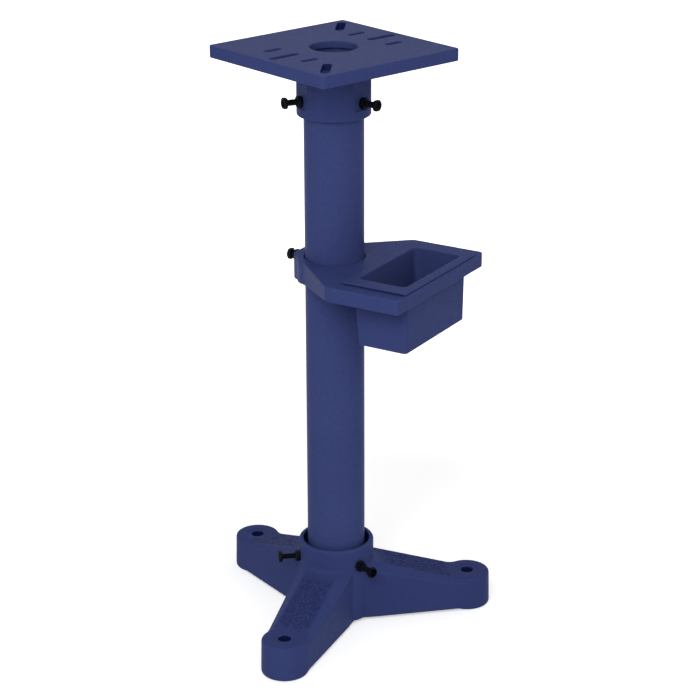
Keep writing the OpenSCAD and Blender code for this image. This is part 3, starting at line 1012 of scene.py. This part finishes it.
    def bolt_ways(self) -> list[bmesh.types.BMesh]:
        """Makes the clamp bolts' holes between the legs.

        Returns:
            One cutting solid for each hole, with a spot face for the lock nut.
        """
        ways = []
        seat, end = self.hub_radius - self.spot_depth, self.hub_radius + self.hub_wall
        profile = [Vector((0, 0)), Vector((self.bolt_hole, 0)), Vector((self.bolt_hole, seat)),
                   Vector((self.spot_radius, seat)), Vector((self.spot_radius, end)), Vector((0, end))]
        for index in range(LEGS):
            way = revolve(profile, closed=False, steps=SMALL_STEPS)
            ways.append(placed(way, outward(self.bolt_angle(index), self.bolt_height)))
        return ways

    def build(self, finishes: Finishes) -> None:
        """Casts the base.

        Args:
            finishes: The stand's finishes.
        """
        base = self.leg()
        core = [rod(self.hub_radius - self.hub_wall / 4, -OVERRUN, self.hub_height)]
        Workshop.combine(base, Fuse.CUT, core)
        one_leg = bmesh.new()
        one_leg.from_mesh(base.data)
        legs = [placed(one_leg.copy(), about_z(self.leg_angle(index))) for index in range(LEGS)]
        one_leg.free()
        bpy.data.meshes.remove(base.data)
        base = Workshop.piece("tripod_base", [self.hub()])
        Workshop.add_each(base, legs)
        Workshop.combine(base, Fuse.CUT, self.bolt_ways())
        Workshop.cast(base, voxel=0.0011, passes=3)
        self.roughen(base)
        Workshop.thin(base)
        Workshop.mark(base, self.painted_shade_share)
        Workshop.dress(base, finishes.casting, Slot.CASTING, "base", "base_casting")

    def leg_place(self, point: Vector) -> tuple[float, float]:
        """Places a point on the nearest leg.

        Args:
            point: A point of the base.

        Returns:
            Its distance along the leg and its distance from the leg's middle.
        """
        angle = math.atan2(point.y, point.x) - self.leg_angle(0)
        angle -= LEG_PITCH * round(angle / LEG_PITCH)
        reach = math.hypot(point.x, point.y)
        return reach * math.cos(angle), abs(reach * math.sin(angle))

    def flat_share(self, point: Vector) -> float:
        """Tells how far a point lies on the top flat of a leg.

        Args:
            point: A point of the base.

        Returns:
            One on the flat, fading to zero at its ends and edges.
        """
        along, across = self.leg_place(point)
        near, far = self.hub_radius + self.root_fillet / 2, self.foot_reach - self.seat_radius
        if point.z < self.leg_top(along) - self.flat_depth:
            return 0.0
        lengthwise = min(along - near, far - along) / self.flat_fade[0]
        sideways = (self.along(along, self.leg_flat) - across) / self.flat_fade[1]
        return min(1.0, max(0.0, min(lengthwise, sideways)))

    def roughen(self, base: bpy.types.Object) -> None:
        """Gives the legs' top flats the coarse skin of the sand mould.

        Args:
            base: The base, which is changed.
        """
        tops = base.vertex_groups.new(name="sand_skin")
        for vertex in base.data.vertices:
            share = self.flat_share(vertex.co)
            if vertex.normal.z > 0 and share > 0:
                tops.add([vertex.index], share, "REPLACE")
        sand = bpy.data.textures.new("sand", "CLOUDS")
        sand.noise_scale = self.sand_scale
        sand.noise_depth = 1
        rough = base.modifiers.new("sand skin", "DISPLACE")
        rough.texture = sand
        rough.texture_coords = "LOCAL"
        rough.vertex_group = tops.name
        rough.strength = self.sand_height
        rough.mid_level = 0.5
        Workshop.bake(base)

    def painted_shade_share(self, point: Vector, normal: Vector) -> float:
        """Tells how much painted shade and darker tone a point gets.

        Args:
            point: A point of the base.
            normal: The surface's direction there.

        Returns:
            One in the feet's holes and the hub's mouth, as painted shade; on the legs' flats a darker tone,
            with painted shade deepest in the sand skin's hollows; a little on the feet's tops.
        """
        along, across = self.leg_place(point)
        radius = math.hypot(point.x, point.y)
        hole = math.hypot(along - self.foot_reach, across) < self.foot_hole + self.blend_bite
        mouth = radius < self.column.radius + self.mouth_gap + self.blend_bite
        seat = self.foot_height - self.seat_depth
        # Painted shade fills the feet's holes below the seat and the gap of the hub's mouth.
        if (hole and point.z < seat) or mouth:
            return 1.0
        if normal.z <= 0:
            return 0.0
        if along > self.leg_end and point.z > seat - self.blend_bite:
            return self.foot_share
        # A darker tone over the flat, with painted shade growing with the depth of the sand skin's hollows.
        depth = (self.leg_top(along) - point.z) / self.sand_height
        return self.flat_share(point) * min(1.0, max(0.0, self.sand_share + self.pit_shade_share * depth))


@dataclass(frozen=True)
class HeadCasting:
    """The square slotted plate with its ribs, on a round socket."""

    column: Column
    plate_width: float = 0.220
    rim_height: float = 0.016
    web: float = 0.009
    hole_radius: float = 0.030
    corner_radius: float = 0.003
    rim_thickness: float = 0.010
    rib_thickness: float = 0.008
    socket_wall: float = 0.0084
    socket_height: float = 0.085
    socket_chamfer: float = 0.0015
    boss_wall: float = 0.012
    fillet: float = 0.010
    flat_depth: float = 0.0035
    flat_lift: float = 0.0115
    flat_height: float = 0.046
    bolt_drop: float = 0.065
    bolt_hole: float = 0.0041
    bolt_length: float = 0.025
    bolt_turn: float = math.radians(42.7)
    long_slot: tuple[float, float] = (0.045, 0.009)
    long_span: float = 0.158
    short_slot: tuple[float, float] = (0.026, 0.008)
    short_spans: tuple[float, float] = (0.136, 0.070)
    corner_slot: tuple[float, float] = (0.048, 0.011)
    corner_place: float = 0.081
    slot_end_share: float = 0.999
    brow: float = 0.0005
    steep: float = 0.6
    # How much painted shade the slots' walls get, and the corners' slots more.
    slot_share: float = 0.5
    corner_slot_share: float = 1.0

    @property
    def socket_radius(self) -> float:
        """Outside radius of the socket."""
        return self.column.socket + self.socket_wall

    def slots(self, top: float) -> list[bmesh.types.BMesh]:
        """Makes every slot of the plate.

        Args:
            top: The height of the plate's top.

        Returns:
            One cutting solid for each slot.
        """
        across, along = (span / 2 for span in self.short_spans)
        places: list[tuple[tuple[float, float], float, float, float]] = []
        for side in (-1, 1):
            places.append((self.long_slot, side * self.long_span / 2, 0.0, 0.0))
            for end in (-1, 1):
                places.append((self.short_slot, side * across, end * along, 0.0))
            corner = side * self.corner_place
            places.append((self.corner_slot, corner, corner, QUARTER / 2))
        cutters = []
        for (length, width), x, y, angle in places:
            outline = oblong(length, width, width / 2 * self.slot_end_share)
            cutter = prism(outline, top - self.rim_height - OVERRUN, top + OVERRUN)
            cutters.append(placed(cutter, Matrix.Translation((x, y, 0)) @ about_z(angle)))
        return cutters

    def ribs(self, low: float, high: float) -> list[bmesh.types.BMesh]:
        """Makes the ribs under the plate, to the two corners without slots and to two sides.

        Args:
            low: The height at which the ribs start.
            high: The height at which they end.

        Returns:
            One solid for each rib.
        """
        half = self.rib_thickness / 2
        side_reach = (self.plate_width - self.rim_thickness) / 2
        corner_reach = (self.plate_width - 2 * self.rim_thickness) / math.sqrt(2)
        runs = ((QUARTER, side_reach), (-QUARTER, side_reach),
                (QUARTER * 1.5, corner_reach), (-QUARTER / 2, corner_reach))
        return [placed(block(Vector((0, -half, low)), Vector((reach, half, high))), about_z(angle))
                for angle, reach in runs]

    def build(self, finishes: Finishes) -> None:
        """Casts the head.

        Args:
            finishes: The stand's finishes.
        """
        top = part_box("head_casting")[1].z
        rim = top - self.rim_height
        low = top - self.socket_height
        wide = oblong(self.plate_width, self.plate_width, self.corner_radius)
        hollow_width = self.plate_width - 2 * self.rim_thickness
        hollow = oblong(hollow_width, hollow_width, self.corner_radius)
        head = Workshop.piece("slotted_head", [prism(wide, rim, top)])
        Workshop.combine(head, Fuse.CUT, [prism(hollow, rim - OVERRUN, top - self.web)])
        inside_web = top - self.web / 2
        radius, boss = self.socket_radius, self.socket_radius + self.boss_wall
        chamfer = self.socket_chamfer / 2
        flare = corner_arc(Vector((radius, -FAR)), Vector((radius, rim)), Vector((FAR, rim)), self.fillet)
        stem = [Vector((0, low)), Vector((radius - chamfer, low)), Vector((radius, low + chamfer)), *flare,
                Vector((boss, rim)), Vector((boss, inside_web)), Vector((0, inside_web))]
        Workshop.combine(head, Fuse.ADD, [revolve(stem, closed=False)])
        Workshop.add_each(head, self.ribs(rim, inside_web))
        Workshop.combine(head, Fuse.CUT, self.flats(low))
        Workshop.combine(head, Fuse.CUT, [self.bore(low, top)])
        Workshop.combine(head, Fuse.CUT, self.slots(top) + self.bolt_ways(top))
        Workshop.cast(head, voxel=0.0011, passes=4)
        Workshop.thin(head)
        Workshop.mark(head, lambda point, normal: self.painted_shade_share(point, normal, top))
        Workshop.dress(head, finishes.casting, Slot.CASTING, "head", "head_casting")

    def bore(self, low: float, top: float) -> bmesh.types.BMesh:
        """Makes the socket's bore, its chamfered mouth and the plate's central hole.

        Args:
            low: The height of the socket's mouth.
            top: The height of the plate's top.

        Returns:
            The cutting solid.
        """
        bore, mouth = self.column.socket, self.column.socket + self.socket_chamfer
        seat = top - self.web
        profile = [Vector((0, low - OVERRUN)), Vector((mouth, low - OVERRUN)), Vector((mouth, low)),
                   Vector((bore, low + self.socket_chamfer)), Vector((bore, seat)),
                   Vector((self.hole_radius, seat)), Vector((self.hole_radius, top + OVERRUN)),
                   Vector((0, top + OVERRUN))]
        return revolve(profile, closed=False)

    def painted_shade_share(self, point: Vector, normal: Vector, top: float) -> float:
        """Tells how much painted shade a point gets.

        Args:
            point: A point of the head.
            normal: The surface's direction there.
            top: The height of the plate's top.

        Returns:
            More than zero on the walls of the slots, as painted shade, and most in the corners' slots.
        """
        inside = max(abs(point.x), abs(point.y)) < self.plate_width / 2 - self.web / 4
        past_hole = math.hypot(point.x, point.y) > self.hole_radius + self.web / 4
        level = top - self.web < point.z < top - self.brow
        if not (inside and past_hole and level and abs(normal.z) < self.steep):
            return 0.0
        cornered = min(abs(point.x), abs(point.y)) > self.corner_place / 2
        return self.corner_slot_share if cornered else self.slot_share

    def flats(self, low: float) -> list[bmesh.types.BMesh]:
        """Makes what is cut off the socket for the flat behind each clamp bolt.

        Args:
            low: The height of the socket's mouth.

        Returns:
            One cutting solid for each flat.
        """
        radius = self.socket_radius
        bottom = low + self.flat_lift
        lowest = Vector((radius - self.flat_depth, -radius / 2, bottom))
        highest = Vector((radius + self.flat_depth, radius / 2, bottom + self.flat_height))
        return [placed(block(lowest, highest), about_z(self.bolt_turn + index * LEG_PITCH))
                for index in range(LEGS)]

    def bolt_ways(self, top: float) -> list[bmesh.types.BMesh]:
        """Makes the clamp bolts' holes in the socket.

        Args:
            top: The height of the plate's top.

        Returns:
            One cutting solid for each hole.
        """
        inner, outer = self.column.radius / 2, self.socket_radius + self.boss_wall
        return [placed(rod(self.bolt_hole, inner, outer, steps=SMALL_STEPS),
                       outward(self.bolt_turn + index * LEG_PITCH, top - self.bolt_drop))
                for index in range(LEGS)]


@dataclass(frozen=True)
class TrayBracket:
    """The bracket that slides on the column: a hollow casting with a frame for the pot."""

    column: Column
    turn: float = math.radians(288)
    width: float = 0.220
    reach: float = 0.1565
    bar: float = 0.0055
    shoulder: float = 0.054
    pad_reach: float = 0.053
    pad_width: float = 0.029
    pad_height: float = 0.035
    top: float = 0.006
    skirt_height: float = 0.019
    skirt: float = 0.006
    collar_wall: float = 0.009
    gap: float = 0.001
    rib: float = 0.006
    corner_radius: float = 0.004
    shoulder_radius: float = 0.015
    edge_radius: float = 0.002
    opening: tuple[float, float] = (0.080, 0.156)
    opening_corner: float = 0.005
    bolt_drop: float = 0.008
    bolt_hole: float = 0.0041
    bolt_length: float = 0.025

    @property
    def bore(self) -> float:
        """Radius of the hole that the column runs through."""
        return self.column.radius + self.gap

    @property
    def pot_place(self) -> float:
        """Distance of the opening's middle, and so of the pot's, from the column's axis."""
        return self.reach - self.bar - self.opening[0] / 2

    def outline(self) -> list[Vector]:
        """Draws the sharp outline from above, with the pot's side towards +X.

        Returns:
            The outline's corners, anticlockwise.
        """
        half = self.width / 2
        near = [(-self.pad_reach, -self.pad_width / 2), (self.shoulder, -half), (self.reach, -half)]
        far = [(x, -y) for x, y in reversed(near)]
        return [Vector(point) for point in near + far]

    def radii(self) -> list[float]:
        """Radius of each corner of the outline."""
        near = [self.edge_radius, self.shoulder_radius, self.corner_radius]
        return near + near[::-1]

    def build(self, finishes: Finishes) -> None:
        """Casts the bracket.

        Args:
            finishes: The stand's finishes.
        """
        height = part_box("tray_bracket")[1].z
        place = Matrix.Translation((0, 0, height)) @ about_z(self.turn)
        outline = self.outline()
        low = -self.pad_height - OVERRUN
        bracket = Workshop.piece("tray_frame", [prism(rounded(outline, self.radii()), low, 0)])
        space = prism(inset(outline, self.skirt), low - OVERRUN, -self.top)
        Workshop.combine(bracket, Fuse.CUT, [space])
        Workshop.add_each(bracket, self.inner_pieces(low))
        Workshop.combine(bracket, Fuse.CUT, [self.below()])
        opening = placed(prism(oblong(*self.opening, self.opening_corner), low - OVERRUN, OVERRUN),
                         Matrix.Translation((self.pot_place, 0, 0)))
        Workshop.combine(bracket, Fuse.CUT, [rod(self.bore, low - OVERRUN, OVERRUN), opening])
        way = rod(self.bolt_hole, 0, self.pad_reach + OVERRUN, steps=SMALL_STEPS)
        Workshop.combine(bracket, Fuse.CUT, [placed(way, outward(math.pi, -self.bolt_drop))])
        bracket.data.transform(place)
        Workshop.cast(bracket, voxel=0.0010, passes=3)
        Workshop.thin(bracket)
        Workshop.dress(bracket, finishes.casting, Slot.CASTING, "tray", "tray_bracket")

    def inner_pieces(self, low: float) -> list[bmesh.types.BMesh]:
        """Makes what stands inside the bracket's skirt.

        Args:
            low: The height at which the solids start.

        Returns:
            The collar, the iron behind the rear pad, the wall round the opening and the two ribs.
        """
        high = -self.top / 2
        collar = rod(self.bore + self.collar_wall, low, high)
        pad = block(Vector((-self.pad_reach + self.edge_radius, -self.pad_width / 2, low)),
                    Vector((0, self.pad_width / 2, high)))
        back = self.pot_place - self.opening[0] / 2 - self.skirt
        front, half = self.reach - self.bar / 2, self.opening[1] / 2 + self.skirt
        corners = (Vector((back, -half)), Vector((front, -half)), Vector((front, half)), Vector((back, half)))
        wall = prism(rounded(corners, [self.opening_corner, 0, 0, self.opening_corner]), low, high)
        corner = Vector((self.shoulder, self.width / 2 - self.skirt))
        rib = (Vector((self.bore, -self.rib / 2, self.rib - self.skirt_height)),
               Vector((corner.length, self.rib / 2, high)))
        angle = math.atan2(corner.y, corner.x)
        ribs = [placed(block(*rib), about_z(way)) for way in (angle, -angle)]
        return [collar, pad, wall, *ribs]

    def below(self) -> bmesh.types.BMesh:
        """Makes the space under the lower edge, which rises from the rear pad to the shoulder.

        Returns:
            The cutting solid.
        """
        rise = (self.pad_height - self.skirt_height) / (self.pad_reach + self.shoulder)
        low = -self.pad_height - 2 * OVERRUN
        back, front = -self.pad_reach - OVERRUN, self.reach + OVERRUN
        side = [Vector(point) for point in (
            (back, low), (front, low), (front, -self.skirt_height), (self.shoulder, -self.skirt_height),
            (back, -self.pad_height - OVERRUN * rise))]
        return placed(prism(side, -self.width, self.width), Matrix.Rotation(QUARTER, 4, "X"))


@dataclass(frozen=True)
class WaterPot:
    """The cast pot that hangs by its rim in the bracket's frame."""

    bracket: TrayBracket
    opening: tuple[float, float] = (0.067, 0.143)
    rim: tuple[float, float] = (0.091, 0.183)
    rim_thickness: float = 0.004
    rim_corner: float = 0.003
    rim_relief: tuple[float, float] = (0.0035, 0.0014)
    height: float = 0.086
    wall: float = 0.005
    draft: float = math.radians(0.8)
    rear_draft: float = math.radians(4.5)
    corner: float = 0.005
    inner_corner: float = 0.007
    body_share: float = 0.6

    def ring(self, grow: float, radius: float, height: float) -> list[Vector]:
        """Draws a level ring of the pot's body.

        Args:
            grow: How much larger than the hollow it is, on each side.
            radius: The radius of its corners.
            height: The height of the ring, from the frame's top.

        Returns:
            The ring's points, anticlockwise.
        """
        half_width, half_length = (size / 2 + grow for size in self.opening)
        front = half_width + height * math.tan(self.draft)
        rear = half_width + height * math.tan(self.rear_draft)
        ends = half_length + height * math.tan(self.draft)
        outline = oblong(front + rear, 2 * ends, radius)
        return [Vector((point.x + (front - rear) / 2, point.y, height)) for point in outline]

    def build(self, finishes: Finishes) -> None:
        """Casts the pot.

        Args:
            finishes: The stand's finishes.
        """
        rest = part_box("tray_bracket")[1].z
        place = Matrix.Translation((0, 0, rest)) @ about_z(self.bracket.turn)
        place @= Matrix.Translation((self.bracket.pot_place, 0, 0))
        low, high = self.rim_thickness - self.height, self.rim_thickness
        body = loft([self.ring(self.wall, self.corner, low),
                     self.ring(self.wall, self.corner, high * self.body_share)])
        lip_width, lip_height = self.rim_relief
        rim = prism(oblong(*self.rim, self.rim_corner), lip_height, high)
        seat = prism(oblong(*(size - 2 * lip_width for size in self.rim), self.rim_corner), 0, high / 2)
        cavity = loft([self.ring(0, self.inner_corner, low + self.wall),
                       self.ring(0, self.inner_corner, high + OVERRUN)])
        pot = Workshop.piece("cast_pot", [rim])
        Workshop.add_each(pot, [seat, body])
        Workshop.combine(pot, Fuse.CUT, [cavity])
        pot.data.transform(place)
        Workshop.cast(pot, voxel=0.0008, passes=2)
        Workshop.thin(pot)
        Workshop.dress(pot, finishes.casting, Slot.CASTING, "pot", "water_pot")


@dataclass(frozen=True)
class ClampBolt:
    """A hexagon bolt that clamps the column, and its lock nut."""

    column: Column
    site: str
    angle: float
    height: float
    length: float
    nut_seat: float
    body_suffix: str
    tip_gap: float = 0.0003
    core_radius: float = 0.0033
    crest_radius: float = 0.00397
    pitch: float = 0.00125
    flat_radius: float = 0.0065
    head_height: float = 0.0053
    nut_height: float = 0.0065
    nut_bore: float = 0.0041
    chamfer: float = math.radians(30)
    chamfer_reach: float = 1.3
    washer_share: float = 0.96
    washer_height: float = 0.0004
    dish_shares: tuple[float, float] = (0.78, 0.7)
    dish_depth: float = 0.00035
    edge: float = 0.00018
    edge_angle: float = math.radians(24)
    shading_angle: float = math.radians(28)
    root_half: float = 0.44
    crest_half: float = 0.07
    thread_steps: int = 24

    @property
    def tip(self) -> float:
        """Distance of the bolt's tip from the column's axis."""
        return self.column.radius + self.tip_gap

    def thread(self) -> bmesh.types.BMesh:
        """Spins the thread's ridge, a small profile carried round and along the shank.

        Returns:
            The ridge as a solid along Z.
        """
        turns = (self.length - 2 * self.pitch) / self.pitch
        steps = int(turns * self.thread_steps)
        root, crest = self.core_radius - self.pitch / 10, self.crest_radius
        places = ((root, -self.root_half), (crest, -self.crest_half),
                  (crest, self.crest_half), (root, self.root_half))
        solid = bmesh.new()
        start = self.tip + self.pitch
        points = [solid.verts.new((radius, 0, start + share * self.pitch)) for radius, share in places]
        lines = [solid.edges.new(pair) for pair in zip(points, points[1:] + points[:1])]
        cap = solid.faces.new(points)
        climb = (0, 0, self.pitch / self.thread_steps)
        bmesh.ops.spin(solid, geom=points + lines + [cap], cent=(0, 0, 0), axis=(0, 0, 1), dvec=climb,
                       angle=math.tau * steps / self.thread_steps, steps=steps, use_merge=False)
        return solid

    def chamfered(self) -> tuple[float, float]:
        """Radius past a hexagon's corners, and how far its chamfer drops on the way there."""
        out = self.flat_radius * self.chamfer_reach
        return out, (out - self.flat_radius) * math.tan(self.chamfer)

    def hexagon(self, name: str, low: float, high: float, form: bmesh.types.BMesh) -> bpy.types.Object:
        """Makes a chamfered hexagonal block along Z, with soft edges.

        Args:
            name: The block's name.
            low: Where it starts.
            high: Where it ends.
            form: The turned form that bounds the hexagon.

        Returns:
            The block as an object.
        """
        corner = self.flat_radius / math.cos(math.pi / 6)
        hexagonal = Workshop.piece(name, [rod(corner, low, high, steps=6)])
        Workshop.combine(hexagonal, Fuse.KEEP_SHARED, [form])
        soft = hexagonal.modifiers.new("edges", "BEVEL")
        soft.width = self.edge
        soft.segments = 2
        soft.limit_method = "ANGLE"
        soft.angle_limit = self.edge_angle
        Workshop.bake(hexagonal)
        return hexagonal

    def head(self, name: str, low: float) -> bpy.types.Object:
        """Makes the bolt's head, with a washer face and a shallow dish.

        Args:
            name: The name of the object.
            low: The distance at which the head starts.

        Returns:
            The head as an object, along Z.
        """
        high, flat = low + self.head_height, self.flat_radius
        out, drop = self.chamfered()
        washer, face = flat * self.washer_share, low + self.washer_height
        rim, floor = (flat * share for share in self.dish_shares)
        sunk = high - self.dish_depth
        form = [Vector((0, low)), Vector((washer, low)), Vector((washer, face)), Vector((out, face)),
                Vector((out, high - drop)), Vector((flat, high)), Vector((rim, high)),
                Vector((floor, sunk)), Vector((0, sunk))]
        return self.hexagon(name, low, high, revolve(form, closed=False, steps=HEX_STEPS))

    def bolt(self, finishes: Finishes) -> None:
        """Makes the bolt, a threaded shank with a head.

        Args:
            finishes: The stand's finishes.
        """
        low = self.tip + self.length
        name = f"{self.site}_hex_bolt{self.body_suffix}"
        head = self.head(name, low)
        core, lead, end = self.core_radius, self.pitch / 2, low + self.head_height / 4
        shank = [Vector((0, self.tip)), Vector((core - lead, self.tip)), Vector((core, self.tip + lead)),
                 Vector((core, end)), Vector((0, end))]
        solids = [bmesh.new(), revolve(shank, closed=False, steps=SMALL_STEPS), self.thread()]
        solids[0].from_mesh(head.data)
        bpy.data.meshes.remove(head.data)
        place = outward(self.angle, self.height)
        bolt = Workshop.piece(name, [placed(solid, place) for solid in solids])
        self.crisp(bolt)
        body = f"{self.site}_bolt{self.body_suffix}"
        Workshop.dress(bolt, finishes.black, Slot.BLACK, body, body)

    def nut(self, finishes: Finishes) -> None:
        """Makes the lock nut.

        Args:
            finishes: The stand's finishes.
        """
        low, high = self.nut_seat, self.nut_seat + self.nut_height
        flat, bore, sink = self.flat_radius, self.nut_bore, self.pitch / 3
        out, drop = self.chamfered()
        form = [Vector((bore + sink, low)), Vector((flat, low)), Vector((out, low + drop)),
                Vector((out, high - drop)), Vector((flat, high)), Vector((bore + sink, high)),
                Vector((bore, high - sink)), Vector((bore, low + sink))]
        nut = self.hexagon(f"{self.site}_lock_nut{self.body_suffix}", low, high,
                           revolve(form, steps=HEX_STEPS))
        nut.data.transform(outward(self.angle, self.height))
        self.crisp(nut)
        body = f"{self.site}_nut{self.body_suffix}"
        Workshop.dress(nut, finishes.black, Slot.BLACK, body, body)

    def crisp(self, target: bpy.types.Object) -> None:
        """Splits the shading at a fastener's sharp edges."""
        split = target.modifiers.new("sharp", "EDGE_SPLIT")
        split.split_angle = self.shading_angle

    def build(self, finishes: Finishes) -> None:
        """Makes the bolt and its nut."""
        self.bolt(finishes)
        self.nut(finishes)


def clamp_bolts(column: Column, base: BaseCasting, head: HeadCasting,
                tray: TrayBracket) -> list[ClampBolt]:
    """Lists all seven clamp bolts, three in the base, three in the head and one in the bracket.

    Args:
        column: The column that they clamp.
        base: The base, with its own sizes.
        head: The head, with its own sizes.
        tray: The bracket, with its own sizes.

    Returns:
        The bolts, each with the place of its lock nut.
    """
    base_seat = base.hub_radius - base.spot_depth + SEAT_GAP
    head_seat = head.socket_radius - head.flat_depth + SEAT_GAP
    head_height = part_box("head_casting")[1].z - head.bolt_drop
    tray_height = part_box("tray_bracket")[1].z - tray.bolt_drop
    bolts = []
    for index in range(LEGS):
        number = f"_{index + 1}"
        bolts.append(ClampBolt(column, "base", base.bolt_angle(index), base.bolt_height,
                               base.bolt_length, base_seat, number))
        bolts.append(ClampBolt(column, "head", head.bolt_turn + LEG_PITCH * index, head_height,
                               head.bolt_length, head_seat, number))
    bolts.append(ClampBolt(column, "tray", tray.turn + math.pi, tray_height,
                           tray.bolt_length, tray.pad_reach + SEAT_GAP, ""))
    return bolts


# The studio


def direction(azimuth: float, elevation: float) -> Vector:
    """Finds the direction from the stand to a camera or a lamp.

    Args:
        azimuth: The angle from -Y, anticlockwise from above.
        elevation: The angle above the floor.

    Returns:
        The direction, with a length of one.
    """
    level = math.cos(elevation)
    return Vector((math.sin(azimuth) * level, -math.cos(azimuth) * level, math.sin(elevation)))


@dataclass(frozen=True)
class PhotoCamera:
    """The camera, from the photograph's perspective."""

    azimuth: float = math.radians(-40.9)
    elevation: float = math.radians(20.97)
    roll: float = math.radians(-0.17)
    lens: float = 111.22
    sensor: float = 36.0
    distance: float = 2.81303
    aim_height: float = 0.37871
    aside: float = 0.01923
    clips: tuple[float, float] = (0.05, 50.0)

    def place(self) -> None:
        """Makes the camera and hands it to the scene."""
        back = direction(self.azimuth, self.elevation)
        level = Vector((math.cos(self.azimuth), math.sin(self.azimuth), 0))
        upright = back.cross(level)
        right = level * math.cos(self.roll) + upright * math.sin(self.roll)
        up = upright * math.cos(self.roll) - level * math.sin(self.roll)
        turn = Matrix((right, up, back)).transposed().to_4x4()
        place = Vector((0, 0, self.aim_height)) + back * self.distance + level * self.aside
        data = bpy.data.cameras.new("camera")
        data.lens = self.lens
        data.sensor_width = self.sensor
        data.clip_start, data.clip_end = self.clips
        camera = bpy.data.objects.new("camera", data)
        camera.matrix_world = Matrix.Translation(place) @ turn
        bpy.context.scene.collection.objects.link(camera)
        bpy.context.scene.camera = camera


@dataclass(frozen=True)
class Lamp:
    """A soft rectangular lamp that faces the stand."""

    name: str
    azimuth: float
    elevation: float
    distance: float
    size: tuple[float, float]
    power: float

    def place(self, aim: Vector) -> None:
        """Hangs the lamp and turns it towards a point.

        Args:
            aim: The point that it lights.
        """
        back = direction(math.radians(self.azimuth), math.radians(self.elevation))
        data = bpy.data.lights.new(self.name, "AREA")
        data.shape = "RECTANGLE"
        data.size, data.size_y = self.size
        data.energy = self.power
        lamp = bpy.data.objects.new(self.name, data)
        lamp.location = aim + back * self.distance
        lamp.rotation_mode = "QUATERNION"
        lamp.rotation_quaternion = back.to_track_quat("Z", "Y")
        lamp.visible_camera = False
        bpy.context.scene.collection.objects.link(lamp)


@dataclass(frozen=True)
class Studio:
    """A pale floor, a white backdrop and soft lamps."""

    fill: float = 0.44
    floor_size: float = 12.0
    floor_glow: float = 0.5
    floor_color: tuple[float, float, float, float] = (0.9, 0.9, 0.9, 1)
    floor_roughness: float = 0.9
    floor_specular: float = 0.1
    shadow_reach: tuple[float, float] = (0.5, 1.4)
    lamps: tuple[Lamp, ...] = (
        Lamp("key", -50, 36, 2.4, (1.1, 1.1), 25),
        Lamp("strip", -101, 12, 2.2, (0.12, 1.8), 1),
        Lamp("right", 60, 20, 2.4, (0.5, 1.8), 4.5))

    @staticmethod
    def seen_directly(nodes: Nodes) -> bpy.types.NodeSocket:
        """Makes a value of one for rays from the camera, a mirror or glass, which see white.

        Args:
            nodes: The nodes to add to.

        Returns:
            The socket that carries the value.
        """
        path = nodes.add("ShaderNodeLightPath")
        seen = nodes.maths("MAXIMUM", path.outputs["Is Camera Ray"], path.outputs["Is Transmission Ray"])
        return nodes.maths("MAXIMUM", seen, path.outputs["Is Glossy Ray"])

    def backdrop(self) -> None:
        """Sets the world: white where it is seen, and a soft fill where it lights."""
        world = bpy.data.worlds.new("studio")
        world.use_nodes = True
        bpy.context.scene.world = world
        nodes = Nodes(world.node_tree)
        background = world.node_tree.nodes["Background"]
        background.inputs["Color"].default_value = (1, 1, 1, 1)
        strength = nodes.spread(self.seen_directly(nodes), 0.0, 1.0, self.fill, 1.0)
        nodes.link(strength, background.inputs["Strength"])

    def floor(self) -> None:
        """Lays the pale floor at the feet's height."""
        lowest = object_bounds()[0].z
        solid = bmesh.new()
        bmesh.ops.create_grid(solid, x_segments=1, y_segments=1, size=self.floor_size / 2,
                              matrix=Matrix.Translation((0, 0, lowest)))
        ground = Workshop.piece("floor", [solid])
        material = bpy.data.materials.new("pale_floor")
        material.use_nodes = True
        shader = material.node_tree.nodes["Principled BSDF"]
        shader.inputs["Base Color"].default_value = self.floor_color
        shader.inputs["Roughness"].default_value = self.floor_roughness
        shader.inputs["Specular IOR Level"].default_value = self.floor_specular
        shader.inputs["Emission Strength"].default_value = 1.0
        nodes = Nodes(material.node_tree)
        distance = nodes.add("ShaderNodeVectorMath", operation="LENGTH")
        nodes.link(nodes.add("ShaderNodeTexCoord").outputs["Object"], distance.inputs[0])
        glow = nodes.spread(distance.outputs["Value"], *self.shadow_reach, self.floor_glow, 1.0)
        nodes.link(nodes.maths("MULTIPLY", self.seen_directly(nodes), glow), shader.inputs["Emission Color"])
        ground.data.materials.append(material)
        ground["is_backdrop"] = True

    def set_up(self) -> None:
        """Sets the backdrop, the floor and the lamps."""
        settings = bpy.context.scene.view_settings
        settings.view_transform = "Standard"
        self.backdrop()
        self.floor()
        aim = Vector((0, 0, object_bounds()[1].z / 2))
        for lamp in self.lamps:
            lamp.place(aim)


def main() -> None:
    """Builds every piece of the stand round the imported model."""
    logging.basicConfig(level=logging.INFO, format="%(message)s")
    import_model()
    PhotoCamera().place()
    finishes = Finishes()
    column = Column()
    base, head, tray = BaseCasting(column), HeadCasting(column), TrayBracket(column)
    column.build(finishes)
    for casting in (base, head, tray, WaterPot(tray)):
        casting.build(finishes)
    for bolt in clamp_bolts(column, base, head, tray):
        bolt.build(finishes)
    Studio().set_up()


if __name__ == "__main__":
    main()
